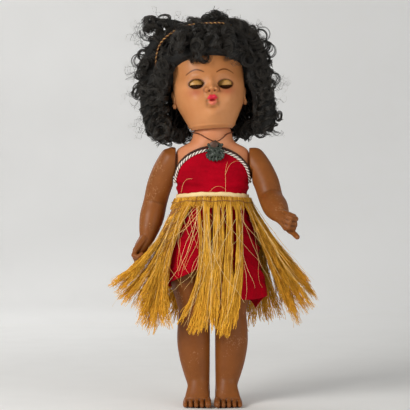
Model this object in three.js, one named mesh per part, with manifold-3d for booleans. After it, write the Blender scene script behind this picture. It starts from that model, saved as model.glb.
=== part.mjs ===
// A strung costume doll: hollow plastic torso and head, limbs held by elastic, sleep eyes,
// a curled wig, a cloth bodice and divided skirt, a raffia skirt, a headband and a neck cord.
// Millimetres, +Z up. The doll stands on its soles and faces -Y; its own left side is +X.
import * as THREE from "three";
import { mergeVertices } from "three/addons/utils/BufferGeometryUtils.js";
import Module from "manifold-3d";

const wasm = await Module();
wasm.setup();

// Clearances and thicknesses
const GAP = 0.3; // between pieces that rest on each other
const SWING_GAP = 0.6; // between pieces that turn past each other
const WALL = 2.2; // plastic shell of torso and head
const CLOTH = 0.6; // red cloth
const CLOTH_OFF = 0.8; // cloth from the torso
const FAR = 200; // reach of a cutting block past the doll

// Heights above the soles
const KNEE_HEIGHT = 93;
const HIP_HEIGHT = 152; // hip axis
const TRUNK = 91; // hip axis to shoulder axis
const WAIST_DROP = 35; // shoulder axis down to the middle of the raffia waistband
const NECK_RISE = 23; // shoulder axis up to the centre of the neck ball
const SHOULDER_HEIGHT = HIP_HEIGHT + TRUNK;
const WAIST_HEIGHT = SHOULDER_HEIGHT - WAIST_DROP;
const NECK_HEIGHT = SHOULDER_HEIGHT + NECK_RISE;

// Body
const BODY_BACK = 14; // the body stands this far behind the middle of the doll's outer box
const PELVIS_HALF = 10; // flat hip faces
const HIP_HALF = 37;
const WAIST_HALF = 33;
const SHOULDER_HALF = 36.4; // flat shoulder faces
const NECK_R = 19;
const NECK_BALL_R = NECK_R + 1;
const LEG_TOP_R = 20; // round top of the thigh, about the hip axis
const ARM_TOP_R = 13.5; // round top of the arm, about the shoulder axis
const LEFT_ARM_FORWARD = 30; // degrees, as photographed
const RIGHT_ARM_FORWARD = -16;
const HEAD_YAW = 4; // degrees to the doll's left, as photographed
const HEAD_TILT = 4; // degrees down to the doll's right, as photographed

// Stringing
const CORD_R = 1.1; // elastic cord
const WIRE_R = 0.8; // hooks
const ARM_EYE_R = 3.6; // eye of an arm hook
const LEG_EYE_R = 2.7; // eye of a leg hook
const SHOULDER_HOLE_R = 5.5;
const HIP_HOLE_R = 4.5;
const NECK_HOLE_R = 4.5;
const CROSSBAR_R = 2;
const CROSSBAR_UP = 24; // above the neck ball centre

// Eyes, measured from the neck ball centre
const EYE_R = 8.2;
const EYE_SPACING = 14.3; // from the middle of the face
const EYE_UP = 51.5;
const EYE_FRONT = 16.5;
const LID = 0.5; // thickness of the eyelid shell
const LID_R = EYE_R + GAP + LID;
const EYE_OPENING_WIDE = 7.3; // half width and half height of the almond opening
const EYE_OPENING_HIGH = 4.7;
const ROCKER_R = 1.1;
const WEIGHT_R = 5;

// Clothes
const BODICE_SIDE = SHOULDER_HEIGHT - 18; // height of the top edge under the arms
const BODICE_TURN = 0.22; // share of the body's depth where that edge starts to rise
const BODICE_FRONT_RISE = 31;
const BODICE_BACK_RISE = 5;
const BODICE_BOTTOM = WAIST_HEIGHT - 6;
const TRIM_R = 0.8; // edging braid and twisted cord
const TRIM_OFF = CLOTH_OFF + CLOTH + GAP + TRIM_R; // their middle from the torso
const BAND_HIGH = 6;
const BAND_THICK = 2.2;
const LEFT_HEM = HIP_HEIGHT - 43;
const RIGHT_HEM = HIP_HEIGHT - 31;
const FOLD_DEPTH = 2.2; // of the skirt folds at the hem
const BUNDLE_THICK = 3.4; // raffia bundle

// Trimmings
const NECK_CORD_R = 0.6;
const PENDANT_ASIDE = 2.5; // hangs a little to the doll's left
const PENDANT_PIVOT = NECK_HEIGHT - 4.5; // height of the hole for the neck cord
const PENDANT_FRONT = 26; // pivot in front of the body middle
const PENDANT_HALF = 9.3;
const PENDANT_THICK = 3.2;
const HEADBAND_R = 1.2;
const CAP_THICK = 0.8; // wig cap

const SKIN_DARK = 0x8c5634;
const SKIN_LIGHT = 0xc48458;
const RED = 0xb3001b;
const RAFFIA = 0xd9a441;
const HAIR = 0x15130f;
const STEEL = 0x9a9a98;
const RUBBER = 0x2a2826;

const degrees = THREE.MathUtils.degToRad;
const at = (x, y, z) => new THREE.Vector3(x, y, z);
const steps = (count) => Array.from({ length: count + 1 }, (_, i) => i / count);
const mix = (from, to, share) => from + (to - from) * share;

// A smooth curve through rows of numbers: gives the row at any value of the key field.
function curveThrough(key, rows) {
  const fields = Object.keys(rows[0]).filter((field) => field !== key);
  const slope = (i, field) => {
    const before = rows[Math.max(i - 1, 0)];
    const after = rows[Math.min(i + 1, rows.length - 1)];
    return (after[field] - before[field]) / (after[key] - before[key]);
  };
  return (value) => {
    let i = 0;
    while (i < rows.length - 2 && value > rows[i + 1][key]) i += 1;
    const span = rows[i + 1][key] - rows[i][key];
    const t = THREE.MathUtils.clamp((value - rows[i][key]) / span, 0, 1);
    const row = { [key]: value };
    for (const field of fields) {
      const from = rows[i][field];
      const to = rows[i + 1][field];
      const bend = slope(i, field) * span * t * (1 - t) ** 2;
      const settle = slope(i + 1, field) * span * t * t * (1 - t);
      row[field] = mix(from, to, t * t * (3 - 2 * t)) + bend - settle;
    }
    return row;
  };
}

// A closed mesh from points and triangles, with its faces turned outwards.
function closedMesh(points, faces) {
  const edge = new THREE.Vector3();
  let volume = 0;
  for (let i = 0; i < faces.length; i += 3) {
    edge.crossVectors(points[faces[i + 1]], points[faces[i + 2]]);
    volume += points[faces[i]].dot(edge);
  }
  const geometry = new THREE.BufferGeometry().setFromPoints(points);
  geometry.setIndex(volume < 0 ? faces.reverse() : faces);
  return geometry;
}

// Rings of points joined one to the next; the ends are capped, or joined when it wraps.
function loft(rings, wrap = false) {
  const count = rings[0].length;
  const points = rings.flat();
  const faces = [];
  const bands = wrap ? rings.length : rings.length - 1;
  for (let r = 0; r < bands; r += 1) {
    const next = ((r + 1) % rings.length) * count;
    for (let i = 0; i < count; i += 1) {
      const j = (i + 1) % count;
      faces.push(r * count + i, r * count + j, next + j);
      faces.push(r * count + i, next + j, next + i);
    }
  }
  if (!wrap) {
    const last = (rings.length - 1) * count;
    const middle = (ring) => ring.reduce((sum, p) => sum.add(p), at(0, 0, 0)).divideScalar(count);
    points.push(middle(rings[0]), middle(rings[rings.length - 1]));
    for (let i = 0; i < count; i += 1) {
      const j = (i + 1) % count;
      faces.push(points.length - 2, j, i);
      faces.push(points.length - 1, last + i, last + j);
    }
  }
  return closedMesh(points, faces);
}

// An open-ended sleeve of cloth: an outer and an inner skin joined along both rims.
function sleeve(ringAt, count, inner, outer) {
  const shares = steps(count);
  const outside = shares.map((share) => ringAt(share, outer));
  const inside = shares.map((share) => ringAt(share, inner)).reverse();
  return loft([...outside, ...inside], true);
}

// A round cord along a smooth line.
function cord(points, radius, count, closed = false, sides = 6) {
  const line = new THREE.CatmullRomCurve3(points, closed, "centripetal");
  const frames = line.computeFrenetFrames(count, closed);
  const shares = steps(count).slice(0, closed ? -1 : undefined);
  const rings = shares.map((share, i) => {
    const middle = line.getPointAt(share);
    return steps(sides)
      .slice(0, -1)
      .map((turn) => {
        const a = 2 * Math.PI * turn;
        return middle
          .clone()
          .addScaledVector(frames.normals[i], radius * Math.cos(a))
          .addScaledVector(frames.binormals[i], radius * Math.sin(a));
      });
  });
  return loft(rings, closed);
}

// A limb: oval rings square to a line of rows with x, y, z, half width and depths.
function limb(rows, count, sides) {
  const rowAt = curveThrough("s", rows.map((row, s) => ({ s, ...row })));
  const last = rows.length - 1;
  const middle = (s) => at(rowAt(s).x, rowAt(s).y, rowAt(s).z);
  const rings = steps(count).map((share) => {
    const s = share * last;
    const along = middle(Math.min(s + 0.05, last)).sub(middle(Math.max(s - 0.05, 0))).normalize();
    const side = at(1, 0, 0).addScaledVector(along, -along.x).normalize();
    const front = new THREE.Vector3().crossVectors(along, side).normalize();
    if (front.y > 0) front.negate();
    const row = rowAt(s);
    return steps(sides)
      .slice(0, -1)
      .map((turn) => {
        const a = 2 * Math.PI * turn;
        const depth = Math.sin(a) > 0 ? row.front : row.back;
        return middle(s)
          .addScaledVector(side, row.half * Math.cos(a))
          .addScaledVector(front, depth * Math.sin(a));
      });
  });
  return loft(rings);
}

// A rounded peg between two points, such as a finger or a toe.
function peg(from, to, radius, sides = 6) {
  const along = to.clone().sub(from).normalize();
  const side = new THREE.Vector3().crossVectors(along, at(0.1, 1, 0.2)).normalize();
  const up = new THREE.Vector3().crossVectors(along, side);
  const ends = [-70, -25, 25, 70].map((turn, i) => {
    const middle = (i < 2 ? from : to).clone();
    middle.addScaledVector(along, radius * Math.sin(degrees(turn)));
    return { middle, radius: radius * Math.cos(degrees(turn)) };
  });
  const rings = ends.map((end) =>
    steps(sides)
      .slice(0, -1)
      .map((turn) =>
        end.middle
          .clone()
          .addScaledVector(side, end.radius * Math.cos(2 * Math.PI * turn))
          .addScaledVector(up, end.radius * Math.sin(2 * Math.PI * turn)),
      ),
  );
  return loft(rings);
}

function solid(geometry) {
  const bare = new THREE.BufferGeometry();
  bare.setAttribute("position", geometry.getAttribute("position"));
  bare.setIndex(geometry.getIndex());
  const merged = mergeVertices(bare, 1e-4);
  const vertProperties = new Float32Array(merged.getAttribute("position").array);
  const triVerts = new Uint32Array(merged.getIndex().array);
  return new wasm.Manifold(new wasm.Mesh({ numProp: 3, vertProperties, triVerts }));
}

function geometryOf(body) {
  const mesh = body.getMesh();
  const geometry = new THREE.BufferGeometry();
  geometry.setAttribute("position", new THREE.BufferAttribute(mesh.vertProperties, 3));
  geometry.setIndex(new THREE.BufferAttribute(mesh.triVerts, 1));
  return geometry;
}

const joined = (...geometries) => geometries.map(solid).reduce((sum, body) => sum.add(body));

// A box between two corners.
function block(low, high) {
  const size = high.clone().sub(low);
  const geometry = new THREE.BoxGeometry(size.x, size.y, size.z);
  return geometry.translate((low.x + high.x) / 2, (low.y + high.y) / 2, (low.z + high.z) / 2);
}

// A round rod along X between two distances from the middle.
function rodAcross(radius, from, to, y, z, sides = 16) {
  const geometry = new THREE.CylinderGeometry(radius, radius, to - from, sides);
  return geometry.rotateZ(Math.PI / 2).translate((from + to) / 2, y, z);
}

function ball(radius, centre, around = 16, up = 12) {
  return new THREE.SphereGeometry(radius, around, up).translate(centre.x, centre.y, centre.z);
}

// An outline drawn in Y and Z, drawn out along X.
function acrossOutline(outline, from, to) {
  const geometry = new THREE.ExtrudeGeometry(outline, {
    depth: to - from,
    bevelEnabled: false,
    curveSegments: 8,
  });
  const turn = new THREE.Matrix4().makeBasis(at(0, 1, 0), at(0, 0, 1), at(1, 0, 0));
  return geometry.applyMatrix4(turn).translate(from, 0, 0);
}

const root = new THREE.Group();
root.name = "costume_doll";
root.position.y = BODY_BACK;

function group(parent, x, y, z) {
  const made = new THREE.Group();
  made.position.set(x, y, z);
  parent.add(made);
  return made;
}

function piece(parent, name, geometry, color, roughness, metalness = 0) {
  const material = new THREE.MeshStandardMaterial({ color, roughness, metalness });
  const mesh = new THREE.Mesh(geometry, material);
  mesh.name = name;
  parent.add(mesh);
}

// Torso: sections by height, each with a half width and depths in front and behind.
const TORSO_BOTTOM = HIP_HEIGHT - 19;
const TORSO_SIDES = 20; // shared by the clothes, so that they lie evenly on the torso
const TORSO_RINGS = 13;
const NECK_STRAIGHT = 5; // the neck is round from here up, above the ball centre
const torsoAt = curveThrough("z", [
  { z: TORSO_BOTTOM, half: 5, front: 5, back: 5 },
  { z: HIP_HEIGHT - 14, half: 15, front: 13, back: 14 },
  { z: HIP_HEIGHT, half: 31, front: 20, back: 22 },
  { z: HIP_HEIGHT + 23, half: HIP_HALF, front: 25, back: 24 },
  { z: WAIST_HEIGHT, half: WAIST_HALF, front: 22, back: 19 },
  { z: SHOULDER_HEIGHT - 15, half: SHOULDER_HALF - 0.2, front: 24, back: 19.5 },
  { z: SHOULDER_HEIGHT, half: SHOULDER_HALF + 1.5, front: 22, back: 18.5 },
  { z: SHOULDER_HEIGHT + 12, half: SHOULDER_HALF - 2, front: 18.5, back: 16.5 },
  { z: NECK_HEIGHT - 4, half: NECK_R + 3.5, front: NECK_R - 0.5, back: NECK_R - 1.5 },
  { z: NECK_HEIGHT + NECK_STRAIGHT, half: NECK_R, front: NECK_R, back: NECK_R },
]);

// A point on an oval section, grown outwards; turn 0 is the doll's left and -90 is the front.
function ovalPoint(section, turn, height, grow = 0) {
  const depth = Math.sin(turn) < 0 ? section.front : section.back;
  const x = (section.half + grow) * Math.cos(turn);
  return at(x, (depth + grow) * Math.sin(turn), height);
}

const ovalRing = (section, height, grow, sides) =>
  steps(sides)
    .slice(0, -1)
    .map((turn) => ovalPoint(section, 2 * Math.PI * turn, height, grow));

// The torso with its neck ball, grown or shrunk evenly.
function torsoBody(grow, sides, count) {
  const low = TORSO_BOTTOM - grow;
  const body = steps(count).map((share) => {
    const height = mix(NECK_HEIGHT + NECK_STRAIGHT, low, (1 - share) ** 1.3); // closer at the neck
    return ovalRing(torsoAt(height), height, grow, sides);
  });
  const neckBall = [25, 41, 58].map((up) => {
    const r = (NECK_BALL_R + grow) * Math.cos(degrees(up));
    const height = NECK_HEIGHT + (NECK_BALL_R + grow) * Math.sin(degrees(up));
    return ovalRing({ half: r, front: r, back: r }, height, 0, sides);
  });
  return solid(loft([...body, ...neckBall]));
}

// The room that a thigh needs beside the pelvis, for either leg.
function hipSocket(radius, inner) {
  const outline = new THREE.Shape();
  outline.moveTo(-FAR, -FAR);
  outline.lineTo(FAR, -FAR);
  outline.lineTo(FAR, 0);
  outline.lineTo(radius, 0);
  outline.absarc(0, 0, radius, 0, Math.PI / 2);
  outline.lineTo(-FAR, radius);
  const left = acrossOutline(outline, inner, FAR).translate(0, 0, HIP_HEIGHT);
  const right = acrossOutline(outline, -FAR, -inner).translate(0, 0, HIP_HEIGHT);
  return solid(left).add(solid(right));
}

function shoulderBlocks(inner) {
  const low = SHOULDER_HEIGHT - ARM_TOP_R - 1;
  const left = block(at(inner, -FAR, low), at(FAR, FAR, FAR * 2));
  const right = block(at(-FAR, -FAR, low), at(-inner, FAR, FAR * 2));
  return joined(left, right);
}

function torso() {
  const socketR = LEG_TOP_R + SWING_GAP;
  const outside = torsoBody(0, TORSO_SIDES, TORSO_RINGS)
    .subtract(hipSocket(socketR, PELVIS_HALF))
    .subtract(shoulderBlocks(SHOULDER_HALF));
  const inside = torsoBody(-WALL, 14, TORSO_RINGS)
    .subtract(hipSocket(socketR + WALL, PELVIS_HALF - WALL))
    .subtract(shoulderBlocks(SHOULDER_HALF - WALL));
  const shoulderHole = rodAcross(SHOULDER_HOLE_R, -FAR, FAR, 0, SHOULDER_HEIGHT, 12);
  const hipHole = rodAcross(HIP_HOLE_R, -PELVIS_HALF - 1, PELVIS_HALF + 1, 0, HIP_HEIGHT, 12);
  const neckHole = new THREE.CylinderGeometry(NECK_HOLE_R, NECK_HOLE_R, NECK_BALL_R * 2, 12);
  neckHole.rotateX(Math.PI / 2).translate(0, 0, NECK_HEIGHT + NECK_BALL_R);
  const holes = joined(shoulderHole, neckHole).add(solid(hipHole));
  return geometryOf(outside.subtract(inside).subtract(holes));
}

// Legs, made for the doll's left side and mirrored for the right.
const FOOT_MIDDLE = 15.6; // from the middle of the doll
const FOOT_HALF = 14.5;
const HEEL_BACK = 17;
const TOE_ROOT = -22;
const TOE_TIP = -28;
const SOLE_SUNK = 1.5; // the foot is cut flat this far up its round

function leg() {
  const top = [75, 55, 30, 0].map((up) => ({
    x: 24,
    y: 0,
    z: HIP_HEIGHT + LEG_TOP_R * Math.sin(degrees(up)),
    half: 18 - 3 * Math.sin(degrees(up)),
    front: LEG_TOP_R * Math.cos(degrees(up)),
    back: LEG_TOP_R * Math.cos(degrees(up)),
  }));
  const rows = [
    ...top,
    { x: 24, y: 0, z: HIP_HEIGHT - 16, half: 18, front: 19.5, back: 19.5 },
    { x: 23.5, y: 0, z: KNEE_HEIGHT + 28, half: 17.6, front: 18, back: 18.5 },
    { x: 20, y: 0, z: KNEE_HEIGHT + 13, half: 16.5, front: 16.5, back: 17 },
    { x: 18.2, y: 0, z: KNEE_HEIGHT, half: 15.5, front: 15.8, back: 15.5 },
    { x: 18.7, y: 0, z: KNEE_HEIGHT - 15, half: 16.2, front: 15.2, back: 16.8 },
    { x: 18.9, y: 0, z: KNEE_HEIGHT - 30, half: 16.4, front: 14.8, back: 18 },
    { x: 17.8, y: 0, z: KNEE_HEIGHT - 45, half: 15.3, front: 14, back: 17 },
    { x: 15.8, y: 0, z: KNEE_HEIGHT - 60, half: 13.3, front: 12.8, back: 14.8 },
    { x: 13.5, y: 0, z: 18, half: 11, front: 11.5, back: 12.5 },
    { x: 13.3, y: 0, z: 8, half: 11, front: 12, back: 13 },
  ];
  const hipFace = PELVIS_HALF + GAP;
  const cut = new THREE.Shape();
  cut.moveTo(hipFace, HIP_HEIGHT + FAR);
  cut.lineTo(hipFace, HIP_HEIGHT - LEG_TOP_R - 7);
  cut.lineTo(hipFace - 7, HIP_HEIGHT - LEG_TOP_R - 22);
  cut.lineTo(-FAR, HIP_HEIGHT - LEG_TOP_R - 22);
  cut.lineTo(-FAR, HIP_HEIGHT + FAR);
  const inside = new THREE.ExtrudeGeometry(cut, { depth: FAR, bevelEnabled: false });
  inside.rotateX(Math.PI / 2).translate(0, FAR / 2, 0);
  const hookHole = rodAcross(WIRE_R + GAP, 0, LEG_HOOK_END + GAP, 0, HIP_HEIGHT, 10);
  return geometryOf(
    solid(limb(rows, 16, 12)).subtract(solid(inside)).subtract(solid(hookHole)).add(foot()),
  );
}

function foot() {
  const footAt = curveThrough("y", [
    { y: TOE_ROOT - 3, half: FOOT_HALF - 2, high: 5.5 },
    { y: TOE_ROOT, half: FOOT_HALF, high: 7.5 },
    { y: -12, half: FOOT_HALF - 1, high: 12 },
    { y: 0, half: FOOT_HALF - 3, high: 18 },
    { y: HEEL_BACK - 5, half: FOOT_HALF - 4.5, high: 15 },
    { y: HEEL_BACK, half: FOOT_HALF - 9, high: 9 },
  ]);
  const aside = curveThrough("y", [
    { y: TOE_ROOT, x: FOOT_MIDDLE },
    { y: HEEL_BACK, x: FOOT_MIDDLE - 2 },
  ]);
  const rings = steps(7).map((share) => {
    const y = mix(TOE_ROOT - 3, HEEL_BACK, share);
    const row = footAt(y);
    return steps(12)
      .slice(0, -1)
      .map((turn) => {
        const a = 2 * Math.PI * turn;
        const middle = (row.high - SOLE_SUNK) / 2;
        const round = (row.high + SOLE_SUNK) / 2;
        return at(aside(y).x + row.half * Math.cos(a), y, middle + round * Math.sin(a));
      });
  });
  const toes = [3.6, 3, 2.9, 2.7, 2.4].map((radius, i) => {
    const x = FOOT_MIDDLE - FOOT_HALF + 3.8 + i * 5.7;
    const reach = TOE_TIP + 0.7 * i;
    return peg(at(x, TOE_ROOT + 2, radius - 0.4), at(x, reach, radius - 0.4), radius);
  });
  const below = block(at(-FAR, -FAR, -FAR), at(FAR, FAR, 0));
  return joined(loft(rings), ...toes).subtract(solid(below));
}

// Arms, made for the doll's left side about the shoulder axis and mirrored for the right.
const FINGER_LENGTHS = [22, 17, 13.5, 10.5]; // the first finger points
const FINGER_R = 2.9;
const THUMB_LENGTH = 12;

function arm() {
  const inner = SHOULDER_HALF;
  const rows = [
    { x: inner + 0.5, y: 0, z: ARM_TOP_R - 0.5, half: 5, front: 4, back: 4 },
    { x: inner + 2, y: 0, z: 7.5, half: 11, front: 11.2, back: 11.2 },
    { x: inner + 5.6, y: 0, z: -1, half: 13, front: ARM_TOP_R, back: ARM_TOP_R },
    { x: inner + 11.6, y: 0, z: -12, half: 12.8, front: 13.2, back: 13.2 },
    { x: inner + 17, y: 0, z: -26, half: 12.6, front: 12.6, back: 12.6 },
    { x: inner + 21, y: 1.5, z: -42, half: 12, front: 11.6, back: 12 },
    { x: inner + 24.5, y: -6, z: -56, half: 12.3, front: 12.2, back: 12.2 },
    { x: inner + 27.2, y: -14, z: -67, half: 10.2, front: 9.8, back: 9.8 },
    { x: inner + 29.5, y: -19.5, z: -75, half: 7.7, front: 6.8, back: 6.8 },
    { x: inner + 34.2, y: -24.5, z: -82, half: 9, front: 5.4, back: 5.4 },
    { x: inner + 39, y: -29.5, z: -89, half: 8.8, front: 4.8, back: 4.8 },
    { x: inner + 41, y: -31.5, z: -91.8, half: 6.5, front: 3.4, back: 3.4 },
  ];
  const wrist = rows[8];
  const knuckles = rows[10];
  const along = at(knuckles.x - wrist.x, knuckles.y - wrist.y, knuckles.z - wrist.z).normalize();
  const side = at(1, 0, 0).addScaledVector(along, -along.x).normalize();
  const palmwards = new THREE.Vector3().crossVectors(along, side).normalize();
  const fingers = FINGER_LENGTHS.flatMap((length, i) => {
    const base = at(knuckles.x, knuckles.y, knuckles.z).addScaledVector(side, -6 + 4 * i);
    const bend = base.clone().addScaledVector(along, length * 0.55);
    const tip = bend.clone().addScaledVector(along, length * 0.4);
    tip.addScaledVector(palmwards, -(2 + i));
    return i === 0 ? [peg(base, bend, FINGER_R), peg(bend, tip, FINGER_R)] : [peg(base, tip, FINGER_R)];
  });
  const thumbRoot = at(rows[9].x, rows[9].y, rows[9].z).addScaledVector(side, 5);
  const thumbTip = thumbRoot.clone().addScaledVector(along, THUMB_LENGTH * 0.5);
  thumbTip.addScaledVector(side, THUMB_LENGTH * 0.7);
  const thumb = peg(thumbRoot, thumbTip, FINGER_R + 0.3);
  const hookHole = rodAcross(WIRE_R + GAP, 0, ARM_HOOK_END + GAP, 0, 0, 10);
  return geometryOf(
    joined(limb(rows, 16, 10), ...fingers, thumb).subtract(armRoom()).subtract(solid(hookHole)),
  );
}

// The torso side of an arm: flat at the shoulder, and clear of the bodice below it.
function armRoom() {
  const face = SHOULDER_HALF + GAP;
  const outline = new THREE.Shape();
  outline.moveTo(face, FAR);
  outline.lineTo(face, 2 - ARM_TOP_R);
  outline.lineTo(face + 2.8, -1 - ARM_TOP_R);
  outline.lineTo(face + 2.8, -FAR);
  outline.lineTo(-FAR, -FAR);
  outline.lineTo(-FAR, FAR);
  const room = new THREE.ExtrudeGeometry(outline, { depth: FAR, bevelEnabled: false });
  return solid(room.rotateX(Math.PI / 2).translate(0, FAR / 2, 0));
}

// A wire eye on a shank, in the middle of a limb's flat face.
const ARM_EYE_MIDDLE = SHOULDER_HALF - 9;
const ARM_HOOK_END = SHOULDER_HALF + 8;
const LEG_EYE_MIDDLE = 5.3;
const LEG_HOOK_END = PELVIS_HALF + 9;

function hook(eyeR, eyeMiddle, end, flat) {
  const eye = new THREE.TorusGeometry(eyeR, WIRE_R, 4, 10);
  if (!flat) eye.rotateX(Math.PI / 2);
  const shank = rodAcross(WIRE_R, eyeMiddle + eyeR, end, 0, 0, 6);
  return geometryOf(joined(eye.translate(eyeMiddle, 0, 0), shank));
}

function armElastic() {
  const slack = 0.4;
  const end = ARM_EYE_MIDDLE - ARM_EYE_R + WIRE_R + CORD_R + slack;
  const halfLoop = ARM_EYE_R - slack;
  const turned = [-60, -20, 20, 60].map((turn) => ({
    x: end - halfLoop + halfLoop * Math.cos(degrees(turn)),
    y: halfLoop * Math.sin(degrees(turn)),
  }));
  const right = turned.map((p) => at(-p.x, -p.y, 0));
  const left = turned.map((p) => at(p.x, p.y, 0));
  const middle = (y) => [at(end / 3, y, 0), at(-end / 3, y, 0)];
  const loop = [...left, ...middle(halfLoop), ...right, ...middle(-halfLoop).reverse()];
  return cord(loop, CORD_R, 24, true, 4).translate(0, 0, SHOULDER_HEIGHT);
}

const HEAD_HOOK_BOTTOM = -4; // middle of its lower bend, below the neck ball centre
const HOOK_BEND_R = 2.7;

function legElastic() {
  const top = NECK_HEIGHT + HEAD_HOOK_BOTTOM;
  const side = [
    at(3.1, 0, top - 3.5),
    at(3.6, 0, mix(HIP_HEIGHT, top, 0.8)),
    at(4.4, 0, mix(HIP_HEIGHT, top, 0.4)),
    at(LEG_EYE_MIDDLE, 0, HIP_HEIGHT + 8),
    at(LEG_EYE_MIDDLE, 0, HIP_HEIGHT + 0.5),
    at(3.8, 0, HIP_HEIGHT - 2.6),
  ];
  const other = side.map((p) => at(-p.x, 0, p.z)).reverse();
  const carried = -HEAD_HOOK_BOTTOM * Math.sin(degrees(HEAD_TILT)); // aside, with the tilted hook
  const loop = [at(carried, 0, top), ...side, at(0, 0, HIP_HEIGHT - 3.4), ...other];
  loop[1].x += 2 * carried;
  loop[loop.length - 1].x += 2 * carried;
  return cord(loop, CORD_R, 36, true, 4);
}

// Head, measured from the neck ball centre: sections by height, leaning back as it rises.
const HEAD_SIDES = 26; // shared by the wig cap, so that it lies evenly on the head
const HEAD_RINGS = 11;
const HEAD_TOP = 111;
const HEAD_BOTTOM = 8.5;
const LEAN = 0.14;
const LEAN_FROM = 30;
const EAR_UP = 40;
const headAt = curveThrough("z", [
  { z: HEAD_BOTTOM, half: NECK_R + 1.5, front: NECK_R + 1.5, back: NECK_R + 0.5 },
  { z: 13, half: 23.5, front: 25.5, back: 22.5 },
  { z: 20, half: 27, front: 30, back: 26.5 },
  { z: 32, half: 32.6, front: 34, back: 33 },
  { z: 46, half: 35.5, front: 34.5, back: 38 },
  { z: 62, half: 36, front: 33.5, back: 41 },
  { z: 80, half: 35, front: 31.5, back: 40 },
  { z: 95, half: 29.5, front: 26, back: 34 },
  { z: 105, half: 20.5, front: 18, back: 24 },
  { z: HEAD_TOP, half: 8, front: 7, back: 9 },
]);

// Swellings and hollows of the face: middle, spread and height, mirrored when off the middle.
const FACE = [
  { x: 0, z: EYE_UP - 5, wide: 4, high: 4, out: 5.6 }, // nose
  { x: 0, z: EYE_UP + 2.5, wide: 3.4, high: 5.5, out: 2.4 }, // bridge
  { x: 0, z: EYE_UP - 16, wide: 6, high: 3.6, out: 2.4 }, // lips
  { x: 0, z: EYE_UP - 29, wide: 7.5, high: 5, out: 2.2 }, // chin
  { x: 19, z: EYE_UP - 15, wide: 8, high: 9, out: 2.2 }, // cheeks
  { x: 12.5, z: EYE_UP, wide: 6, high: 5.5, out: -2.4 }, // eye hollows
];

function faceOut(x, z) {
  const swell = (spot, middle) =>
    spot.out * Math.exp(-(((x - middle) / spot.wide) ** 2) - ((z - spot.z) / spot.high) ** 2);
  return FACE.reduce((sum, spot) => {
    const mirrored = spot.x > 0 ? swell(spot, -spot.x) : 0;
    return sum + swell(spot, spot.x) + mirrored;
  }, 0);
}

function headPoint(turn, z, grow = 0, withFace = false) {
  const point = ovalPoint(headAt(z), turn, z, grow);
  const front = Math.max(0, -Math.sin(turn));
  if (withFace) point.y -= faceOut(point.x, z) * front;
  point.y += LEAN * (z - LEAN_FROM);
  return point;
}

// The points round a head section stand closer together on the face.
function headRing(z, grow, sides, withFace) {
  const crowd = 0.62;
  return steps(sides)
    .slice(0, -1)
    .map((share) => {
      const turn = 2 * Math.PI * share - crowd * Math.sin(2 * Math.PI * share);
      return headPoint(turn - Math.PI / 2, z, grow, withFace);
    });
}

function ears(grow) {
  const made = [-1, 1].map((side) => {
    const ear = new THREE.SphereGeometry(1, 8, 6).scale(3 + grow, 5 + grow, 8 + grow);
    const y = LEAN * (EAR_UP - LEAN_FROM) + 3;
    return ear.translate(side * (headAt(EAR_UP).half + 0.5), y, EAR_UP);
  });
  return joined(...made);
}

function headBody(grow, sides, count, withFace = false) {
  const faceLow = EYE_UP - 27;
  const faceHigh = EYE_UP + 9;
  const even = steps(count).map((share) => mix(HEAD_BOTTOM - grow, HEAD_TOP + grow, share));
  const fine = steps(12).map((share) => mix(faceLow, faceHigh, share));
  const coarse = even.filter((z) => z < faceLow - 1 || z > faceHigh + 1);
  const heights = withFace ? [...coarse, ...fine].sort((a, b) => a - b) : even;
  return solid(loft(heights.map((z) => headRing(z, grow, sides, withFace)))).add(ears(grow));
}

const eyeMiddle = (side) => at(side * EYE_SPACING, -EYE_FRONT, EYE_UP);

function head() {
  const inside = solid(loft(
    steps(7).map((share) => headRing(mix(HEAD_BOTTOM + WALL, HEAD_TOP - WALL, share), -WALL, 14)),
  ));
  const seat = solid(ball(NECK_BALL_R + 2 * SWING_GAP, at(0, 0, 0), 16, 8));
  const openings = [-1, 1].map((side) => {
    const hole = new THREE.CylinderGeometry(1, 1, EYE_FRONT * 2, 16);
    hole.scale(EYE_OPENING_WIDE, 1, EYE_OPENING_HIGH);
    hole.translate(side * EYE_SPACING, -EYE_FRONT * 2, EYE_UP);
    return solid(hole).add(solid(ball(LID_R + SWING_GAP, eyeMiddle(side), 12, 8)));
  });
  return geometryOf(
    headBody(0, HEAD_SIDES, HEAD_RINGS, true)
      .subtract(inside)
      .subtract(seat)
      .subtract(openings[0])
      .subtract(openings[1]),
  );
}

// Sleep eyes
const LID_BACK = 3; // the lid shell ends this far behind the eye axis
const LASH_LONG = 2.4;
const LASH_THICK = 0.6;
const LEVER_BACK = 24;
const LEVER_DOWN = 8;
const LUG_GAP = 1.6; // half the gap between the bracket lugs
const LUG_THICK = 2;
const BRACKET_SETBACK = 1.7; // from the inside of the face

function eyelid(side) {
  const middle = eyeMiddle(side);
  const shell = solid(ball(LID_R, middle, 12, 8)).subtract(solid(ball(LID_R - LID, middle, 12, 8)));
  const low = block(at(-FAR, -FAR, -FAR), at(FAR, FAR, EYE_UP));
  const behind = block(at(-FAR, LID_BACK - EYE_FRONT, -FAR), at(FAR, FAR, FAR));
  const rod = rodAcross(ROCKER_R + GAP, -EYE_SPACING, EYE_SPACING, -EYE_FRONT, EYE_UP, 8);
  return geometryOf(shell.subtract(joined(low, behind)).subtract(solid(rod)));
}

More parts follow.
